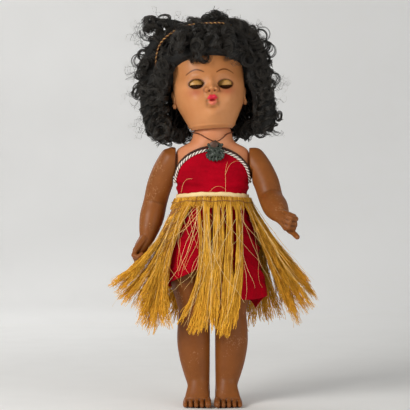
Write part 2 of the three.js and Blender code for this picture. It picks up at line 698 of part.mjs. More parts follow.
function lashes(side) {
  const inner = LID_R + GAP;
  const spread = degrees(30);
  const outline = new THREE.Shape();
  outline.absarc(0, 0, inner + LASH_LONG, -Math.PI / 2 - spread, -Math.PI / 2 + spread, false);
  outline.absarc(0, 0, inner, -Math.PI / 2 + spread, -Math.PI / 2 - spread, true);
  const options = { depth: LASH_THICK, bevelEnabled: false, curveSegments: 4 };
  const middle = eyeMiddle(side);
  const fringe = new THREE.ExtrudeGeometry(outline, options);
  return geometryOf(solid(fringe.translate(middle.x, middle.y, middle.z - LASH_THICK)));
}

const rockerHalf = EYE_SPACING - EYE_R - GAP;
const leverEnd = at(0, LEVER_BACK - EYE_FRONT, EYE_UP - LEVER_DOWN);

function eyeRocker() {
  const rod = rodAcross(ROCKER_R, -rockerHalf, rockerHalf, -EYE_FRONT, EYE_UP, 12);
  const lever = cord([at(0, -EYE_FRONT, EYE_UP), leverEnd], ROCKER_R, 2, false, 8);
  return geometryOf(joined(rod, lever));
}

function eyeWeight() {
  const along = leverEnd.clone().sub(eyeMiddle(0)).normalize();
  const start = leverEnd.clone().addScaledVector(along, -WEIGHT_R);
  const room = cord([start, leverEnd.clone().addScaledVector(along, GAP)], ROCKER_R + GAP, 2, false, 8);
  return geometryOf(solid(ball(WEIGHT_R, leverEnd, 8, 6)).subtract(solid(room)));
}

function eyeBracket() {
  const front = headPoint(-Math.PI / 2, EYE_UP, -WALL).y + BRACKET_SETBACK;
  const high = ROCKER_R + GAP + 1.6;
  const edge = LUG_GAP + LUG_THICK;
  const plate = block(at(-edge, front, EYE_UP - high), at(edge, front + 2.5, EYE_UP + high));
  const lugs = [-edge, LUG_GAP].map((x) => {
    const back = -EYE_FRONT + ROCKER_R + GAP + 1.6;
    return block(at(x, front + 1, EYE_UP - high), at(x + LUG_THICK, back, EYE_UP + high));
  });
  const bore = rodAcross(ROCKER_R + GAP, -FAR, FAR, -EYE_FRONT, EYE_UP, 12);
  return geometryOf(joined(plate, ...lugs).subtract(solid(bore)));
}

// Head stringing
function crossbar() {
  const half = headAt(CROSSBAR_UP).half - WALL - CROSSBAR_R - 3 * GAP;
  return geometryOf(solid(rodAcross(CROSSBAR_R, -half, half, 0, CROSSBAR_UP, 12)));
}

function headHook() {
  const topR = CROSSBAR_R + GAP + WIRE_R;
  const over = [-110, -60, 0, 60, 115].map((turn) =>
    at(0, topR * Math.sin(degrees(turn)), CROSSBAR_UP + topR * Math.cos(degrees(turn))),
  );
  const under = [30, 90, 150, 210, 270].map((turn) => {
    const height = HEAD_HOOK_BOTTOM + HOOK_BEND_R * Math.cos(degrees(turn));
    return at(0, HOOK_BEND_R * Math.sin(degrees(turn)), height);
  });
  const shank = [at(0, 0, CROSSBAR_UP - topR - 4), at(0, 0, 4)];
  return cord([...over, ...shank, ...under], WIRE_R, 22, false, 4);
}

// Wig
const HAIR_CLEAR = 6.5; // lowest hair above the round tops of the arms
const HAIR_LOW = ARM_TOP_R + HAIR_CLEAR - NECK_RISE; // from the neck ball centre
const HAIR_NECK_R = 34; // open round the neck and the neck cord
const HAIR_NECK_TOP = 9;
const HAIR_DEEP = 14; // matted hair under the locks, from the scalp
const LOCK_RIPPLES = 1; // coils that show along a lock
const BAND_TOP = at(0, -14, 113); // the headband goes over the crown here
const BAND_LEAN = 0.42; // and this far back for each step down
const BAND_DROP = 66; // below this height it no longer leans

// A curled lock along a line, rippled by its coils.
function lock(points, radius) {
  const line = new THREE.CatmullRomCurve3(points);
  const count = 4;
  const frames = line.computeFrenetFrames(count, false);
  const rings = steps(count).map((share, i) => {
    const ends = 0.45 + 0.6 * Math.sin(Math.PI * (0.12 + 0.82 * share)) ** 0.7;
    const ripple = 1 + 0.08 * Math.cos(2 * Math.PI * LOCK_RIPPLES * share);
    return steps(6)
      .slice(0, -1)
      .map((turn) => {
        const a = 2 * Math.PI * turn;
        return line
          .getPointAt(share)
          .addScaledVector(frames.normals[i], radius * ends * ripple * Math.cos(a))
          .addScaledVector(frames.binormals[i], radius * ends * ripple * Math.sin(a));
      });
  });
  return loft(rings);
}

// A ring of locks that leave the scalp, swell out and hang; turn 90 is the back.
function lockTier({ count, from, to, rise, out, hang, radius }) {
  return steps(count - 1).map((share) => {
    const turn = degrees(mix(from, to, share));
    const wider = 1 - 0.05 * Math.cos(turn);
    const around = (reach, z) => at(
      reach * wider * Math.cos(turn),
      reach * 0.74 * Math.sin(turn) + LEAN * (Math.max(z, 40) - LEAN_FROM),
      z,
    );
    const start = headPoint(turn, rise, 2);
    return lock([start, around(out, mix(rise, hang, 0.35)), around(out + 3, mix(rise, hang, 0.7)),
      around(out - 3, hang)], radius);
  });
}

function fringe() {
  return [-24, -9, 6, 21].map((x) => {
    const low = 77 - 0.006 * (x + 10) ** 2;
    const spread = 1.12;
    const path = [
      at(x * 0.8, -4, 106),
      at(x, -21, 102),
      at(x * spread, -28.5, 94),
      at(x * spread, -29, low),
    ];
    return lock(path, 9.5);
  });
}

function faceLocks() {
  const sides = [-1, 1].flatMap((side) => {
    const reach = side < 0 ? 46 : 43;
    return [
      lock([at(side * 29, -12, 92), at(side * 41, -13, 80), at(side * reach, -9, 62),
        at(side * (reach + 1), -4, 44)], 9),
      lock([at(side * 38, 0, 62), at(side * (reach + 3), -3, 44), at(side * (reach + 4), 0, 26),
        at(side * (reach + 2), 4, 1)], 9.5),
    ];
  });
  return sides;
}

function crownLocks() {
  return [
    lock([at(-8, 2, 108), at(-30, 5, 117), at(-52, 8, 119), at(-62, 10, 108)], 8),
    lock([at(-4, 4, 108), at(6, 2, 118), at(18, 4, 116), at(26, 8, 106)], 8),
    lock([at(10, 6, 106), at(34, 6, 108), at(48, 8, 96), at(54, 10, 82)], 13),
    lock([at(-10, 6, 106), at(-36, 8, 106), at(-52, 10, 94), at(-58, 12, 78)], 13),
    lock([at(-16, 14, 108), at(0, 22, 110), at(16, 26, 106), at(30, 28, 94)], 14),
    lock([at(0, 14, 110), at(-14, 32, 104), at(-22, 40, 92), at(-22, 44, 76)], 14),
  ];
}

function wholeHair() {
  const locks = [
    ...lockTier({ count: 7, from: -2, to: 182, rise: 70, out: 57, hang: -1, radius: 16.5 }),
    ...lockTier({ count: 5, from: 8, to: 172, rise: 88, out: 54, hang: 46, radius: 16 }),
    ...fringe(),
    ...faceLocks(),
    ...crownLocks(),
  ];
  const neckRoom = new THREE.CylinderGeometry(HAIR_NECK_R, HAIR_NECK_R, FAR, 16);
  neckRoom.rotateX(Math.PI / 2).translate(0, 0, HAIR_NECK_TOP - FAR / 2);
  const floor = block(at(-FAR, -FAR, -FAR), at(FAR, FAR, HAIR_LOW));
  const underHair = headBody(HAIR_DEEP, 10, 6).subtract(faceBlock());
  return joined(...locks)
    .add(underHair)
    .subtract(headBody(CAP_THICK + 3 * GAP, HEAD_SIDES, HEAD_RINGS))
    .subtract(joined(neckRoom, floor));
}

// Everything in front of the hairline.
function faceBlock() {
  const hairline = new THREE.Shape();
  hairline.moveTo(-FAR, HEAD_TOP + 90);
  hairline.lineTo(-34, 84);
  hairline.lineTo(0, 66);
  hairline.lineTo(22, 18);
  hairline.lineTo(22, -FAR);
  hairline.lineTo(-FAR, -FAR);
  return solid(acrossOutline(hairline, -FAR, FAR));
}

// How far back the headband lies at a height: it leans over the crown, then drops straight.
const bandBack = (z) => BAND_TOP.y + BAND_LEAN * (BAND_TOP.z - Math.max(z, BAND_DROP));

// The slab between front and back hair, where the headband presses in.
function bandSlab(before, behind) {
  const slope = new THREE.Shape();
  slope.moveTo(bandBack(-FAR) + before, -FAR);
  slope.lineTo(bandBack(-FAR) + behind, -FAR);
  slope.lineTo(bandBack(BAND_DROP) + behind, BAND_DROP);
  slope.lineTo(bandBack(FAR) + behind, FAR);
  slope.lineTo(bandBack(FAR) + before, FAR);
  slope.lineTo(bandBack(BAND_DROP) + before, BAND_DROP);
  return solid(acrossOutline(slope, -FAR, FAR));
}

// Over the crown, down both sides and round the nape under the hair.
function headband(radius) {
  const over = [
    { x: 17, z: 112 },
    { x: 34, z: 106 },
    { x: 46, z: 96 },
    { x: 51, z: 81 },
    { x: 50, z: BAND_DROP },
  ].map(({ x, z }) => at(x, bandBack(z), z));
  const left = [...over, at(42, 26, 52), at(24, 43, 44)];
  const right = left.map((p) => at(-p.x, p.y, p.z)).reverse();
  return cord([BAND_TOP, ...left, at(0, 49, 42), ...right], radius, 30, true, 4);
}

function wigCap() {
  const shell = headBody(CAP_THICK + 2 * GAP, HEAD_SIDES, HEAD_RINGS).subtract(
    headBody(2 * GAP, HEAD_SIDES, HEAD_RINGS),
  );
  return geometryOf(shell.subtract(faceBlock()));
}

// Clothes
const bodiceTop = (turn) => {
  const rise = Math.sin(turn) < 0 ? BODICE_FRONT_RISE : BODICE_BACK_RISE;
  const share = Math.max(0, (Math.abs(Math.sin(turn)) - BODICE_TURN) / (1 - BODICE_TURN));
  return BODICE_SIDE + rise * share ** 0.95;
};

const onTorso = (turn, height, grow) => ovalPoint(torsoAt(height), turn, height, grow);

function bodice() {
  const ringAt = (share, grow) =>
    steps(TORSO_SIDES).slice(0, -1).map((part) => {
      const turn = 2 * Math.PI * part;
      return onTorso(turn, mix(BODICE_BOTTOM, bodiceTop(turn), share), grow);
    });
  return sleeve(ringAt, 5, CLOTH_OFF, CLOTH_OFF + CLOTH);
}

function bodiceTrim(grow, below) {
  const loop = steps(48).slice(0, -1).map((share) => {
    const turn = 2 * Math.PI * share;
    return onTorso(turn, bodiceTop(turn) - below, grow);
  });
  return cord(loop, TRIM_R, 36, true, 4);
}

// Skirt sections by height; the raffia follows them on past the hems.
const skirtAt = curveThrough("z", [
  { z: HIP_HEIGHT - 92, half: 58, front: 35, back: 37 },
  { z: HIP_HEIGHT - 40, half: 53.5, front: 34, back: 34.5 },
  { z: HIP_HEIGHT - 12, half: 48.5, front: 32.5, back: 32.5 },
  { z: HIP_HEIGHT + 22, half: HIP_HALF + 5, front: 29.5, back: 28.5 },
  { z: BODICE_BOTTOM, half: WAIST_HALF + 1.9, front: 24.2, back: 21.6 },
]);
const SKIRT_SEAM = 1.3; // inner wall of each half from the middle of the doll
const SKIRT_TOP = BODICE_BOTTOM - GAP;

// One leg of the divided skirt, with folds that deepen towards the hem.
function skirtHalf(side, hem, folds) {
  const arc = 20;
  const wall = 4;
  const ringAt = (share, grow) => {
    const outer = steps(arc).map((part) => {
      const turn = mix(-Math.PI / 2, Math.PI / 2, part);
      const height = mix(SKIRT_TOP, hem(part), share);
      const row = skirtAt(height);
      const fold = (Math.sin(folds * Math.PI * part) - 0.4) * Math.sin(Math.PI * part) ** 0.5;
      const out = grow + FOLD_DEPTH * share * fold;
      const seam = SKIRT_SEAM - grow;
      const depth = (turn < 0 ? row.front : row.back) + out;
      const across = seam + (row.half + out - seam) * Math.cos(turn);
      return at(side * across, depth * Math.sin(turn), height);
    });
    const from = outer[arc];
    const to = outer[0];
    const inner = steps(wall).slice(1, -1).map((part) => from.clone().lerp(to, part));
    return [...outer, ...inner];
  };
  const cloth = solid(sleeve(ringAt, 6, 0, CLOTH));
  return geometryOf(cloth.subtract(torsoBody(GAP, TORSO_SIDES, TORSO_RINGS)));
}

function waistband() {
  const low = WAIST_HEIGHT - BAND_HIGH / 2;
  const ringAt = (share, grow) => {
    const height = low + BAND_HIGH * share;
    return ovalRing(torsoAt(height), height, grow, TORSO_SIDES);
  };
  const inner = CLOTH_OFF + CLOTH + 1.3 * GAP;
  return sleeve(ringAt, 1, inner, inner + BAND_THICK);
}

// Raffia bundles: where each leaves the band and where its tip hangs (turn in degrees),
// the drop of the tip below the hips, how far it flares out from the skirt and how wide the tip spreads.
const BUNDLES = {
  front_1: { root: -112, tip: -118, drop: 78, flare: 2, wide: 9 },
  front_2: { root: -101, tip: -108, drop: 83, flare: 2, wide: 9 },
  front_3: { root: -90, tip: -98, drop: 80, flare: 2, wide: 9 },
  front_4: { root: -79, tip: -88, drop: 83, flare: 2, wide: 9 },
  front_5: { root: -67, tip: -78, drop: 81, flare: 2, wide: 9 },
  front_6: { root: -52, tip: -67, drop: 74, flare: 2, wide: 9 },
  right_1: { root: -124, tip: -136, drop: 79, flare: 10, wide: 13 },
  right_2: { root: -135, tip: -149, drop: 73, flare: 22, wide: 14 },
  right_3: { root: -146, tip: -158, drop: 54, flare: 36, wide: 12 },
  right_4: { root: -158, tip: -164, drop: 39, flare: 50, wide: 9 },
  left_1: { root: -37, tip: -22, drop: 68, flare: 18, wide: 14 },
  left_2: { root: -22, tip: -9, drop: 56, flare: 46, wide: 10 },
  left_3: { root: -8, tip: 4, drop: 39, flare: 50, wide: 9 },
  back_1: { root: 14, tip: 20, drop: 60, flare: 26, wide: 14 },
  back_2: { root: 36, tip: 42, drop: 72, flare: 14, wide: 14 },
  back_3: { root: 58, tip: 63, drop: 78, flare: 9, wide: 14 },
  back_4: { root: 79, tip: 81, drop: 82, flare: 8, wide: 14 },
  back_5: { root: 101, tip: 99, drop: 82, flare: 8, wide: 14 },
  back_6: { root: 122, tip: 118, drop: 78, flare: 9, wide: 14 },
  back_7: { root: 147, tip: 141, drop: 70, flare: 13, wide: 14 },
};
const BUNDLE_TOP = WAIST_HEIGHT - BAND_HIGH / 2 - GAP;
const BUNDLE_ROOT_HALF = 2.6;
const BUNDLE_OFF = FOLD_DEPTH + BUNDLE_THICK / 2; // middle of a bundle off the skirt

function bundle({ root: rootTurn, tip, drop, flare, wide }) {
  const middle = (share) => {
    const height = mix(BUNDLE_TOP, HIP_HEIGHT - drop, share);
    const turn = degrees(mix(rootTurn, tip, share));
    const off = BUNDLE_OFF * Math.min(1, 0.72 + share * 2) + flare * share ** 1.5;
    return ovalPoint(skirtAt(height), turn, height, off);
  };
  const rings = steps(5).map((share) => {
    const here = middle(share);
    const along = middle(share + 0.02).sub(middle(Math.max(share - 0.02, 0))).normalize();
    const out = at(here.x, here.y * 2, 0).normalize();
    const side = new THREE.Vector3().crossVectors(along, out).normalize();
    out.crossVectors(side, along).normalize();
    const half = mix(BUNDLE_ROOT_HALF, wide / 2, share ** 0.8);
    const thick = (BUNDLE_THICK / 2) * (0.65 + 0.35 * Math.sin(Math.PI * share));
    return steps(6)
      .slice(0, -1)
      .map((part) => {
        const a = 2 * Math.PI * part;
        return here
          .clone()
          .addScaledVector(side, half * Math.cos(a))
          .addScaledVector(out, thick * Math.sin(a));
      });
  });
  return loft(rings);
}

// Neck cord and pendant
function neckCord() {
  const round = (turn, off, z) => {
    const r = NECK_R + NECK_CORD_R + off;
    return at(r * Math.cos(degrees(turn)), r * Math.sin(degrees(turn)), NECK_HEIGHT + z);
  };
  const pivot = at(PENDANT_ASIDE, -PENDANT_FRONT, PENDANT_PIVOT);
  const beside = (dx, up) => pivot.clone().add(at(dx, 0, up));
  const line = [
    beside(-2.2, 0.1),
    beside(0, 0),
    beside(2.2, 0.1),
    at(PENDANT_ASIDE + 7, -24, PENDANT_PIVOT + 3),
    round(-48, 1.4, 3),
    round(-12, 0.6, 5.4),
    round(30, 0.6, 5.8),
    round(90, 0.6, 5.8),
    round(150, 0.6, 5.8),
    round(192, 0.6, 5.4),
    round(232, 1.4, 3),
    at(PENDANT_ASIDE - 8, -24, PENDANT_PIVOT + 3),
  ];
  return cord(line, NECK_CORD_R, 36, true, 4);
}

// The carved figure: a leaning head with ring eyes over a rounded body with bent limbs.
function pendant() {
  const lugR = NECK_CORD_R + 1.9;
  const bodyHigh = 6.2;
  const headHigh = 5;
  const neckDrop = 9.2; // from the pivot to the neck of the figure
  const oval = (halfWide, halfHigh, depth, x, z) => {
    const outline = new THREE.Shape();
    outline.absellipse(0, 0, halfWide, halfHigh, 0, 2 * Math.PI);
    const options = { depth, bevelEnabled: false, curveSegments: 7 };
    const made = new THREE.ExtrudeGeometry(outline, options);
    return made.rotateX(Math.PI / 2).translate(x, depth / 2, z);
  };
  const lug = rodAcross(lugR, -1.6, 1.6, 0, 0, 14);
  const figureHead = oval(PENDANT_HALF - 2, headHigh, PENDANT_THICK, 0, -neckDrop + headHigh - 1);
  const figureBody = oval(PENDANT_HALF, bodyHigh, PENDANT_THICK, 0, -neckDrop - bodyHigh + 2);
  const eyes = [-1, 1].map((side) => {
    const ring = new THREE.TorusGeometry(2, 0.7, 4, 9).rotateX(Math.PI / 2);
    return ring.translate(side * 3.1, -PENDANT_THICK / 2, -neckDrop + headHigh);
  });
  const notches = [-1, 1].map((side) =>
    oval(1.3, 2.2, PENDANT_THICK * 2, side * (PENDANT_HALF - 4), -neckDrop - bodyHigh + 2.4),
  );
  const hole = rodAcross(NECK_CORD_R + 2 * GAP, -FAR, FAR, 0, 0, 12);
  return geometryOf(
    joined(lug, figureHead, figureBody, ...eyes).subtract(joined(...notches)).subtract(solid(hole)),
  );
}

// Assembly
const body = group(root, 0, 0, 0);
piece(body, "torso", torso(), SKIN_LIGHT, 0.5);
piece(body, "arm_elastic", armElastic(), RUBBER, 0.8);
piece(body, "leg_elastic", legElastic(), RUBBER, 0.8);

for (const side of [1, -1]) {
  const name = side > 0 ? "left" : "right";
  const armGroup = group(root, 0, 0, SHOULDER_HEIGHT);
  armGroup.scale.x = side;
  armGroup.rotation.x = degrees(side > 0 ? -LEFT_ARM_FORWARD : -RIGHT_ARM_FORWARD);
  piece(armGroup, `${name}_arm`, arm(), SKIN_DARK, 0.45);
  piece(armGroup, `${name}_arm_hook`, hook(ARM_EYE_R, ARM_EYE_MIDDLE, ARM_HOOK_END, false), STEEL, 0.35, 1);

  const legGroup = group(root, 0, 0, 0);
  legGroup.scale.x = side;
  piece(legGroup, `${name}_leg`, leg(), SKIN_DARK, 0.45);
  const legHook = hook(LEG_EYE_R, LEG_EYE_MIDDLE, LEG_HOOK_END, true).translate(0, 0, HIP_HEIGHT);
  piece(legGroup, `${name}_leg_hook`, legHook, STEEL, 0.35, 1);
}

const headGroup = group(root, 0, 0, NECK_HEIGHT);
headGroup.rotation.set(0, -degrees(HEAD_TILT), degrees(HEAD_YAW));
piece(headGroup, "head", head(), SKIN_LIGHT, 0.45);
piece(headGroup, "head_crossbar", crossbar(), 0xb58a55, 0.7);
piece(headGroup, "head_hook", headHook(), STEEL, 0.35, 1);
for (const side of [1, -1]) {
  const name = side > 0 ? "left" : "right";
  const eyeball = geometryOf(solid(ball(EYE_R, eyeMiddle(side), 12, 8)));
  piece(headGroup, `${name}_eyeball`, eyeball, 0x2a1810, 0.15);
  piece(headGroup, `${name}_eyelid`, eyelid(side), 0xc79a5b, 0.4);
  piece(headGroup, `${name}_lashes`, lashes(side), 0x2a170c, 0.8);
}
piece(headGroup, "eye_rocker", eyeRocker(), STEEL, 0.35, 1);
piece(headGroup, "eye_weight", eyeWeight(), 0x55565a, 0.6, 1);
piece(headGroup, "eye_bracket", eyeBracket(), 0x8a8378, 0.6);

const hair = wholeHair();
const slabHalf = HEADBAND_R + GAP;
piece(headGroup, "wig_cap", wigCap(), HAIR, 0.9);
const bandRoom = solid(headband(slabHalf));
const frontHair = hair.intersect(bandSlab(-FAR, -slabHalf)).subtract(bandRoom);
const backHair = hair.intersect(bandSlab(slabHalf, FAR)).subtract(bandRoom);
piece(headGroup, "wig_front", geometryOf(frontHair), HAIR, 0.6);
piece(headGroup, "wig_back", geometryOf(backHair), HAIR, 0.6);
piece(headGroup, "headband", headband(HEADBAND_R), 0x9a6a3a, 0.5);

piece(body, "bodice", bodice(), RED, 0.85);
piece(body, "bodice_edging", bodiceTrim(TRIM_OFF, -GAP), 0x4a2412, 0.7);
piece(body, "bodice_cord", bodiceTrim(TRIM_OFF, 4 * TRIM_R - 2 * GAP), 0xe8d3b0, 0.5);
piece(body, "left_skirt", skirtHalf(1, (part) => LEFT_HEM - 3 * Math.sin(2 * Math.PI * part), 5), RED, 0.85);
piece(body, "right_skirt", skirtHalf(-1, (part) => RIGHT_HEM + 13 * (1 - part) ** 3, 4), RED, 0.85);
piece(body, "raffia_waistband", waistband(), 0xecd9a8, 0.8);
for (const [name, shape] of Object.entries(BUNDLES)) {
  piece(body, `raffia_${name}`, bundle(shape), RAFFIA, 0.7);
}
piece(body, "neck_cord", neckCord(), 0x3b1d0e, 0.7);
const pendantGroup = group(root, PENDANT_ASIDE, -PENDANT_FRONT, PENDANT_PIVOT);
piece(pendantGroup, "pendant", pendant(), 0x1f3a33, 0.3);

export default root;
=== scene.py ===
import math
import random

import bmesh
import bpy
import numpy as np
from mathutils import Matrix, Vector


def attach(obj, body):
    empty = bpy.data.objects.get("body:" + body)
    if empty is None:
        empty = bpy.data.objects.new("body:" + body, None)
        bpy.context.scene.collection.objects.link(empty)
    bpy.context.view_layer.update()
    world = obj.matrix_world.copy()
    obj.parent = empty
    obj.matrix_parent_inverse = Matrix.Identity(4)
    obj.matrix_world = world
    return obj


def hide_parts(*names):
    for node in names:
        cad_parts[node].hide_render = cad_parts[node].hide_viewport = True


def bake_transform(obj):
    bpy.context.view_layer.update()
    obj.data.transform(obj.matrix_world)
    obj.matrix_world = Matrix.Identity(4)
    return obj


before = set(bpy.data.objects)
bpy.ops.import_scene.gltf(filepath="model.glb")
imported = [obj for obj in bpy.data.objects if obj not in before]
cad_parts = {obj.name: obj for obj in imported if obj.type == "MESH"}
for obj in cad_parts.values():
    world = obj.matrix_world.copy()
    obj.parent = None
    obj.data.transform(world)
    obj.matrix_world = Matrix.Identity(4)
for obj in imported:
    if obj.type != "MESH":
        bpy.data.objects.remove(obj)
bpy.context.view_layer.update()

MM = 0.001
FULL_TURN = 2 * math.pi

# Sizes of the part, in millimetres, as its solids have them
BODY_BACK = 14.0
KNEE_HEIGHT = 93.0
HIP_HEIGHT = 152.0
WAIST_HEIGHT = 208.0
SHOULDER_HEIGHT = 243.0
NECK_HEIGHT = 266.0
PELVIS_HALF = 10.0
SHOULDER_HALF = 36.4
NECK_R = 19.0
NECK_BALL_R = 20.0
LEG_TOP_R = 20.0
ARM_TOP_R = 13.5
LEFT_ARM_FORWARD = 30.0
RIGHT_ARM_FORWARD = -16.0
HEAD_YAW = 4.0
HEAD_TILT = 4.0
GAP = 0.3

# Head, measured from the centre of the neck ball
HEAD_TOP = 111.0
HEAD_BOTTOM = 8.5
LEAN = 0.14
LEAN_FROM = 30.0
EYE_R = 8.2
LID_R = 9.0
EYE_SPACING = 14.3
EYE_UP = 51.5
EYE_FRONT = 16.5
EYE_HALF_WIDE = 7.4
EYE_HALF_HIGH = 4.8
EYE_LEVEL = 0.9
EYE_ROOM = 0.6
LID_EDGE = -5.0
LID_THICK = 0.5
SEAT_ROOM = 1.2
HAIRLINE = ([18, 66, 84], [22, 0, -34])
RINGLET_R = 5.8

# Clothes and trimmings
CLOTH = 0.6
CLOTH_OFF = 0.8
BODICE_SIDE = 225.0
BODICE_FRONT_RISE = 31.0
BODICE_BACK_RISE = 5.0
BODICE_TURN = 0.22
BODICE_BOTTOM = 202.0
BAND_HIGH = 6.0
BAND_AROUND = 190.0
PENDANT_ASIDE = 2.5
PENDANT_PIVOT = 261.5
PENDANT_FRONT = 26.0


def srgb(red, green, blue):
    """A colour as a painter names it, 0 to 255, in the light values that the shader takes."""
    def light(value):
        share = value / 255
        return share / 12.92 if share <= 0.04045 else ((share + 0.055) / 1.055) ** 2.4
    return (light(red), light(green), light(blue), 1.0)


def darker(colour, share):
    """A share of a colour's light."""
    return tuple(share * part for part in colour[:3]) + (1.0,)


# Node helpers
def find_socket(sockets, name):
    """A socket by its identifier, its name or its number."""
    for socket in sockets:
        if socket.identifier == name:
            return socket
    return sockets[name]


def add(tree, kind, links=None, **settings):
    """A node with its settings; each input is given a value or linked to an output."""
    made = tree.nodes.new(kind)
    for name, value in settings.items():
        setattr(made, name, value)
    for name, value in (links or {}).items():
        socket = find_socket(made.inputs, name)
        if isinstance(value, bpy.types.NodeSocket):
            tree.links.new(value, socket)
        else:
            socket.default_value = value
    return made


def calc(tree, operation, *values):
    return add(tree, "ShaderNodeMath", dict(enumerate(values)), operation=operation).outputs[0]


def vector(tree, operation, *values, **links):
    links.update(enumerate(values))
    return add(tree, "ShaderNodeVectorMath", links, operation=operation).outputs[0]


def mix_colour(tree, share, first, second):
    return add(tree, "ShaderNodeMix", {0: share, 6: first, 7: second}, data_type="RGBA").outputs[2]


def noise(tree, place, size, detail):
    links = {"Vector": place, "Scale": size, "Detail": detail}
    return add(tree, "ShaderNodeTexNoise", links).outputs["Fac"]


def spread(tree, value, low, high, to_low=0.0, to_high=1.0, **settings):
    """A value carried over from one range to another and held at the ends."""
    links = {"Value": value, "From Min": low, "From Max": high, "To Min": to_low, "To Max": to_high}
    return add(tree, "ShaderNodeMapRange", links, **settings).outputs[0]


def attribute(tree, name):
    return add(tree, "ShaderNodeAttribute", attribute_name=name).outputs["Fac"]


def own_place(tree):
    return add(tree, "ShaderNodeTexCoord").outputs["Object"]


FLOAT = "NodeSocketFloat"
COLOUR = "NodeSocketColor"
GEOMETRY = "NodeSocketGeometry"
SOCKETS = {float: FLOAT, int: "NodeSocketInt", tuple: COLOUR}


def new_tree(name, kind, inputs, outputs):
    """A node group with named inputs and outputs, and its two end nodes."""
    tree = bpy.data.node_groups.new(name, kind)
    for label, value in inputs.items():
        kind_of = value if isinstance(value, str) else SOCKETS[type(value)]
        socket = tree.interface.new_socket(label, in_out="INPUT", socket_type=kind_of)
        if not isinstance(value, str):
            socket.default_value = value
    for label, kind_of in outputs.items():
        tree.interface.new_socket(label, in_out="OUTPUT", socket_type=kind_of)
    start = tree.nodes.new("NodeGroupInput")
    end = tree.nodes.new("NodeGroupOutput")
    return tree, start.outputs, end.inputs


# Shader groups shared by the finishes
def mottle_group():
    """Cloudy change between two colours, large and small."""
    tree, given, out = new_tree(
        "mottle",
        "ShaderNodeTree",
        {"Colour": (0.5, 0.5, 0.5, 1.0), "Stain": (0.3, 0.3, 0.3, 1.0), "Size": 60.0, "Amount": 0.5},
        {"Colour": COLOUR},
    )
    place = own_place(tree)
    broad = noise(tree, place, given["Size"], 5.0)
    fine = noise(tree, place, calc(tree, "MULTIPLY", given["Size"], 9.0), 3.0)
    cloudy = spread(tree, calc(tree, "MULTIPLY_ADD", fine, 0.35, broad), 0.5, 0.85)
    mask = calc(tree, "MULTIPLY", cloudy, given["Amount"])
    tree.links.new(mix_colour(tree, mask, given["Colour"], given["Stain"]), out["Colour"])
    return tree


def grain_group():
    """Fine unevenness of a moulded or worn surface, as a height and a roughness."""
    tree, given, out = new_tree(
        "grain",
        "ShaderNodeTree",
        {"Size": 900.0, "Rough Low": 0.4, "Rough High": 0.6},
        {"Height": FLOAT, "Roughness": FLOAT},
    )
    place = own_place(tree)
    broad = noise(tree, place, calc(tree, "MULTIPLY", given["Size"], 0.12), 2.0)
    rough = spread(tree, broad, 0.3, 0.7, given["Rough Low"], given["Rough High"])
    tree.links.new(noise(tree, place, given["Size"], 4.0), out["Height"])
    tree.links.new(rough, out["Roughness"])
    return tree


def weave_group():
    """Plain weave on the cloth's own lengthways and crossways measure, in metres."""
    tree, given, out = new_tree(
        "weave", "ShaderNodeTree", {"Threads": 1600.0}, {"Height": FLOAT, "Thread": FLOAT},
    )
    cloth = add(tree, "ShaderNodeUVMap", uv_map="cloth").outputs[0]
    parts = add(tree, "ShaderNodeSeparateXYZ", {"Vector": cloth}).outputs
    waves = []
    for way in ("X", "Y"):
        threads = calc(tree, "MULTIPLY", parts[way], given["Threads"])
        waves.append(calc(tree, "SINE", calc(tree, "MULTIPLY", threads, math.pi)))
    height = calc(tree, "MULTIPLY", *waves)
    slubs = noise(tree, cloth, 420.0, 4.0)
    tree.links.new(calc(tree, "MULTIPLY_ADD", slubs, 1.4, height), out["Height"])
    tree.links.new(calc(tree, "MULTIPLY_ADD", height, 0.5, 0.5), out["Thread"])
    return tree


def strand_group():
    """Colour of one strand among many: its own shade, and a change from root to tip."""
    tree, given, out = new_tree(
        "strand shade",
        "ShaderNodeTree",
        {"Dark": (0.1, 0.1, 0.1, 1.0), "Light": (0.6, 0.6, 0.6, 1.0), "Tip": (0.3, 0.3, 0.3, 1.0),
         "Tip Share": 0.3},
        {"Colour": COLOUR, "Streak": FLOAT},
    )
    shade = calc(tree, "MULTIPLY", attribute(tree, "shade"), 0.7)
    blotch = noise(tree, own_place(tree), 140.0, 4.0)
    streak = spread(tree, calc(tree, "MULTIPLY_ADD", blotch, 0.6, shade), 0.25, 0.95)
    own = mix_colour(tree, streak, given["Dark"], given["Light"])
    late = calc(tree, "POWER", attribute(tree, "along"), 3.0)
    tip = calc(tree, "MULTIPLY", late, given["Tip Share"])
    tree.links.new(mix_colour(tree, tip, own, given["Tip"]), out["Colour"])
    tree.links.new(streak, out["Streak"])
    return tree


def scuff_group():
    """Small worn flecks that come together in patches, as a mask."""
    tree, given, out = new_tree(
        "scuffs",
        "ShaderNodeTree",
        {"Fleck Size": 520.0, "Patch Size": 40.0, "Amount": 0.4},
        {"Mask": FLOAT},
    )
    place = own_place(tree)
    fleck = noise(tree, place, given["Fleck Size"], 6.0)
    patch = noise(tree, place, given["Patch Size"], 2.0)
    worn = spread(tree, calc(tree, "MULTIPLY_ADD", patch, 0.8, fleck), 1.06, 1.22)
    tree.links.new(calc(tree, "MULTIPLY", worn, given["Amount"]), out["Mask"])
    return tree


MOTTLE = mottle_group()
SCUFFS = scuff_group()
GRAIN = grain_group()
WEAVE = weave_group()
STRAND = strand_group()


# Finishes
def finish(name, **sockets):
    """A new material, its tree and its surface shader with plain values set."""
    made = bpy.data.materials.new(name)
    made.use_nodes = True
    shader = made.node_tree.nodes["Principled BSDF"]
    for label, value in sockets.items():
        shader.inputs[label.replace("_", " ")].default_value = value
    return made, made.node_tree, shader


def linked_group(tree, group, links):
    """The outputs of a shared group."""
    return add(tree, "ShaderNodeGroup", links, node_tree=group).outputs


